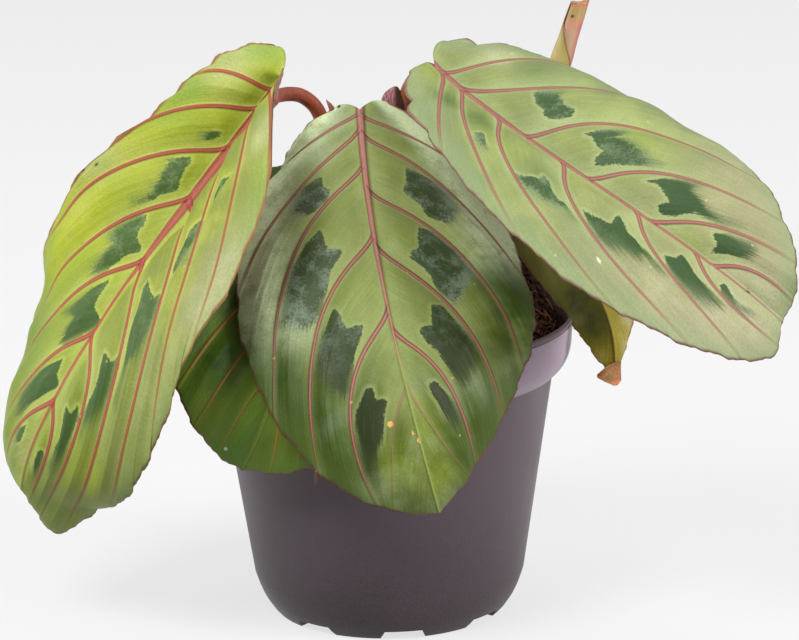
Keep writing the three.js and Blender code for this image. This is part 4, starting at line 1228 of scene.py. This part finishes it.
ROLLED_AXIS = [(37.2, 17, 110), (41, 16.5, 122), (44.3, 16, 133), (48.5, 16, 146.2)]
ROLLED_TURNS, ROLLED_ROWS, ROLLED_COLUMNS = 2.2, 90, 130
ROLLED_THICKNESS = 0.2
RADIUS_STATIONS, RADII = (0, 0.12, 0.4, 0.62, 0.75, 1), (2.0, 2.5, 2.75, 2.75, 2.35, 2.05)
# The bearing of the outer free edge, in degrees, from the foot to the top.
SEAM_STATIONS = (0, 0.42, 0.6, 0.72, 0.78, 0.84, 0.9, 1)
SEAM = (340, 335, 315, 262, 235, 195, 175, 160)


def rolled_material():
    g = Graph("rolled_leaf_skin", (172, 156, 92))
    around, along, inner = g.attribute("flat")
    fine = g.noise(g.join(around * 30.0, along * 4.0, 0.0), 1.0, 4.0, 0.6)
    ridge = g.noise(g.join(around * 75.0, along * 7.0, 3.0), 1.0, 2.0)
    blotch = g.noise(g.join(around * 6.0, along * 5.0, 1.0), 1.0, 3.0)
    turn, uneven = around * 2.0, blotch - 0.5
    g.paint(turn.span(0.3, 0.62), (170, 134, 114))
    g.paint(turn.span(0.86, 1.04), (168, 136, 118))
    g.paint(turn.span(1.18, 1.36) * 0.8, (166, 98, 94))
    g.paint(blotch.span(0.45, 0.66) * 0.6, (150, 136, 78))
    g.paint(along.span(0.72, 0.9) * 0.55, (184, 118, 74))
    g.paint((along + uneven * 0.2).span(0.84, 0.93) * 0.6, (140, 128, 52))
    g.paint(along.span(0.965, 0.99) * 0.8, (180, 96, 66))
    g.paint(ridge.span(0.5, 0.72) * 0.4, (186, 158, 138))
    # a pink fold down one side
    blush = (turn + along * 1.22).span(1.8, 1.68) * turn.span(0.38, 0.5)
    g.paint(blush * along.span(0.94, 0.84) * 0.7, (172, 92, 90))
    # the free edge, and a brown spot below the top
    g.paint(turn.span(0.16, 0.03) * 0.6, (128, 122, 42))
    g.paint(turn.span(0.035, 0.015), (124, 76, 52))
    above, beside = (along - 0.908) * 56.0, (turn - 0.81) * 17.0
    far = g.math("SQRT", above * above + beside * beside)
    g.paint((far + uneven * 1.2).span(1.0, 0.4), (84, 54, 44))
    g.paint(inner.span(0.4, 0.6), (150, 138, 108))
    return g.finish(0.48, ridge * 0.1 + fine * 0.08, 0.45)


def make_rolled():
    rows, part = np.linspace(0, 1, ROLLED_ROWS), np.linspace(0, 1, ROLLED_COLUMNS)
    axis = smooth_line(ROLLED_AXIS, 24)
    steps = travelled(axis)
    centre = sampled(rows * 0.972, steps / steps[-1], axis)
    along = unit(centre[-1] - centre[0])
    side = unit(np.array([1.0, 0, 0]) - along[0] * along)
    back = np.cross(along, side)
    radius = np.interp(rows, RADIUS_STATIONS, RADII)
    seam = np.radians(np.interp(rows, SEAM_STATIONS, SEAM))
    points, flats = [], []
    for skin in (0, 1):
        for k, share in enumerate(rows):
            angle = seam[k] - part * ROLLED_TURNS * 2 * math.pi
            r = radius[k] * np.clip(1.1 - 0.2 * part * ROLLED_TURNS, 0.25, 2) - skin * ROLLED_THICKNESS
            slant = 0.9 * share**8 * np.cos(angle) + 0.25 * share**6 * np.sin(3 * angle)
            p = centre[k] + side * (r * np.cos(angle))[:, None] + back * (0.85 * r * np.sin(angle))[:, None]
            points.extend((p + along * slant[:, None]) * MM)
            flats += [(v, share, skin) for v in part * ROLLED_TURNS / 2]
    thing = build("rolled_leaf", points, sheet_faces(ROLLED_ROWS, ROLLED_COLUMNS), rolled_material())
    attach(thing, {"flat": flats})
    return carry(thing, "leaf_rolled")


make_rolled()

# Dry sheath beside the right stalk

SHEATH_CORNERS = [
    (5.3, 3.0, 125.6), (3.8, 2.6, 128.1), (1.4, 2.4, 127.1), (0.1, 2.2, 125), (-0.4, 2, 120), (0.6, 2, 112),
    (4.4, 3, 108), (5.3, 3, 119),
]
SHEATH_RINGS, SHEATH_HALF = 9, 0.22


def sheath_material():
    g = Graph("dry_sheath_skin", (128, 78, 84))
    where = g.place()
    lines = g.noise(g.drawn_out(where, 0.12), 2600.0, 4.0, 0.6)
    g.paint(lines.span(0.4, 0.62), (186, 132, 134))
    g.paint(g.split(where)[0].span(0.0024, 0.004), (70, 38, 26))
    return g.finish(0.6, lines * 0.25, 0.35)


def make_sheath():
    """Two skins of shrinking rings round a middle point, joined at the outline."""
    corner = np.array(SHEATH_CORNERS)
    middle = corner.mean(0) + np.array([0, -0.5, 0])
    outline = smooth_line(np.vstack([corner, corner[:1]]), 8)[:-1]
    count = len(outline)
    size = SHEATH_RINGS * count + 1
    points, faces = [], []
    for skin in (-1, 1):
        for k in range(SHEATH_RINGS):
            share = 1 - k / SHEATH_RINGS
            ring = middle + (outline - middle) * share
            crease = 0.12 * np.sin(ring[:, 0] * 7) * (1 - share)
            ring[:, 1] += skin * SHEATH_HALF - 0.55 * (1 - share**2) + crease
            points.extend(ring * MM)
        points.append((middle + np.array([0, skin * SHEATH_HALF - 0.6, 0])) * MM)
        base = len(points) - size
        for i in range(count):
            j = (i + 1) % count
            for k in range(base, base + (SHEATH_RINGS - 1) * count, count):
                faces.append((k + i, k + j, k + count + j, k + count + i)[::-skin])
            k = base + (SHEATH_RINGS - 1) * count
            faces.append((k + i, k + j, base + size - 1) if skin < 0 else (k + j, k + i, base + size - 1))
    faces += [((i + 1) % count, i, i + size, (i + 1) % count + size) for i in range(count)]
    return carry(build("dry_sheath_flap", points, faces, sheath_material()), "dry_sheath")


make_sheath()

# Floor, light and camera

FLOOR_RADIUS, FLOOR_SIDES, FLOOR_LEVEL = 6, 64, -0.0001
AIM = Vector((3.5, 0, 71.2)) * MM
ELEVATION, ROLL = math.radians(15.4), math.radians(-1.0)
DISTANCE, SENSOR = 1.0, 36
IMAGE_WIDTH, PIXEL = 799, 0.000241


def floor_material():
    g = Graph("floor_paper")
    paper = g.node("ShaderNodeBsdfDiffuse", {"Color": [0.8, 0.8, 0.8, 1]})
    glow = g.node("ShaderNodeEmission", {"Color": [1, 1, 1, 1], "Strength": 0.875})
    mixed = g.node("ShaderNodeMixShader", (0.8,))
    for i, made in ((1, paper), (2, glow)):
        g.tree.links.new(made.outputs[0], mixed.inputs[i])
    g.tree.links.new(mixed.outputs[0], g.out.inputs[0])
    return g.material


def panel(name, where, target, size, power):
    data = bpy.data.lights.new(name, "AREA")
    data.shape = "RECTANGLE"
    data.size, data.size_y = size
    data.energy = power
    thing = bpy.data.objects.new(name, data)
    thing.location = where
    thing.rotation_euler = (Vector(target) - Vector(where)).to_track_quat("-Z", "Y").to_euler()
    bpy.context.scene.collection.objects.link(thing)


bearings = [TURN * i / FLOOR_SIDES for i in range(FLOOR_SIDES)]
edge = [(FLOOR_RADIUS * math.cos(a), FLOOR_RADIUS * math.sin(a), FLOOR_LEVEL) for a in bearings]
wedges = [(0, 1 + i, 1 + (i + 1) % FLOOR_SIDES) for i in range(FLOOR_SIDES)]
floor = build("floor", [(0, 0, FLOOR_LEVEL), *edge], wedges, floor_material())
floor.visible_diffuse = False

world = bpy.data.worlds.new("studio")
world.use_nodes = True
world.node_tree.nodes["Background"].inputs[0].default_value = (1.0, 1.0, 1.0, 1)
world.node_tree.nodes["Background"].inputs[1].default_value = 0.38
bpy.context.scene.world = world

panel("key", (-0.42, -0.8, 1.05), (0, 0, 0.09), (0.42, 0.42), 15.0)
panel("top", (0.05, 0.35, 1.05), (0, 0, 0.09), (1.2, 0.8), 3.5)
panel("right", (0.95, -0.5, 0.45), (0, 0, 0.06), (0.4, 0.8), 13.0)
panel("left", (-0.95, 0.12, 0.3), (0, 0, 0.04), (0.3, 0.6), 4.0)

data = bpy.data.cameras.new("camera")
data.sensor_width = SENSOR
data.lens = DISTANCE / PIXEL / IMAGE_WIDTH * SENSOR
data.clip_end = 50
camera = bpy.data.objects.new("camera", data)
bpy.context.scene.collection.objects.link(camera)
camera.location = AIM + DISTANCE * Vector((0, -math.cos(ELEVATION), math.sin(ELEVATION)))
look = (AIM - camera.location).to_track_quat("-Z", "Y").to_matrix().to_4x4()
camera.rotation_euler = (look @ Matrix.Rotation(ROLL, 4, "Z")).to_euler()
bpy.context.scene.camera = camera
bpy.context.scene.view_settings.view_transform = "Standard"
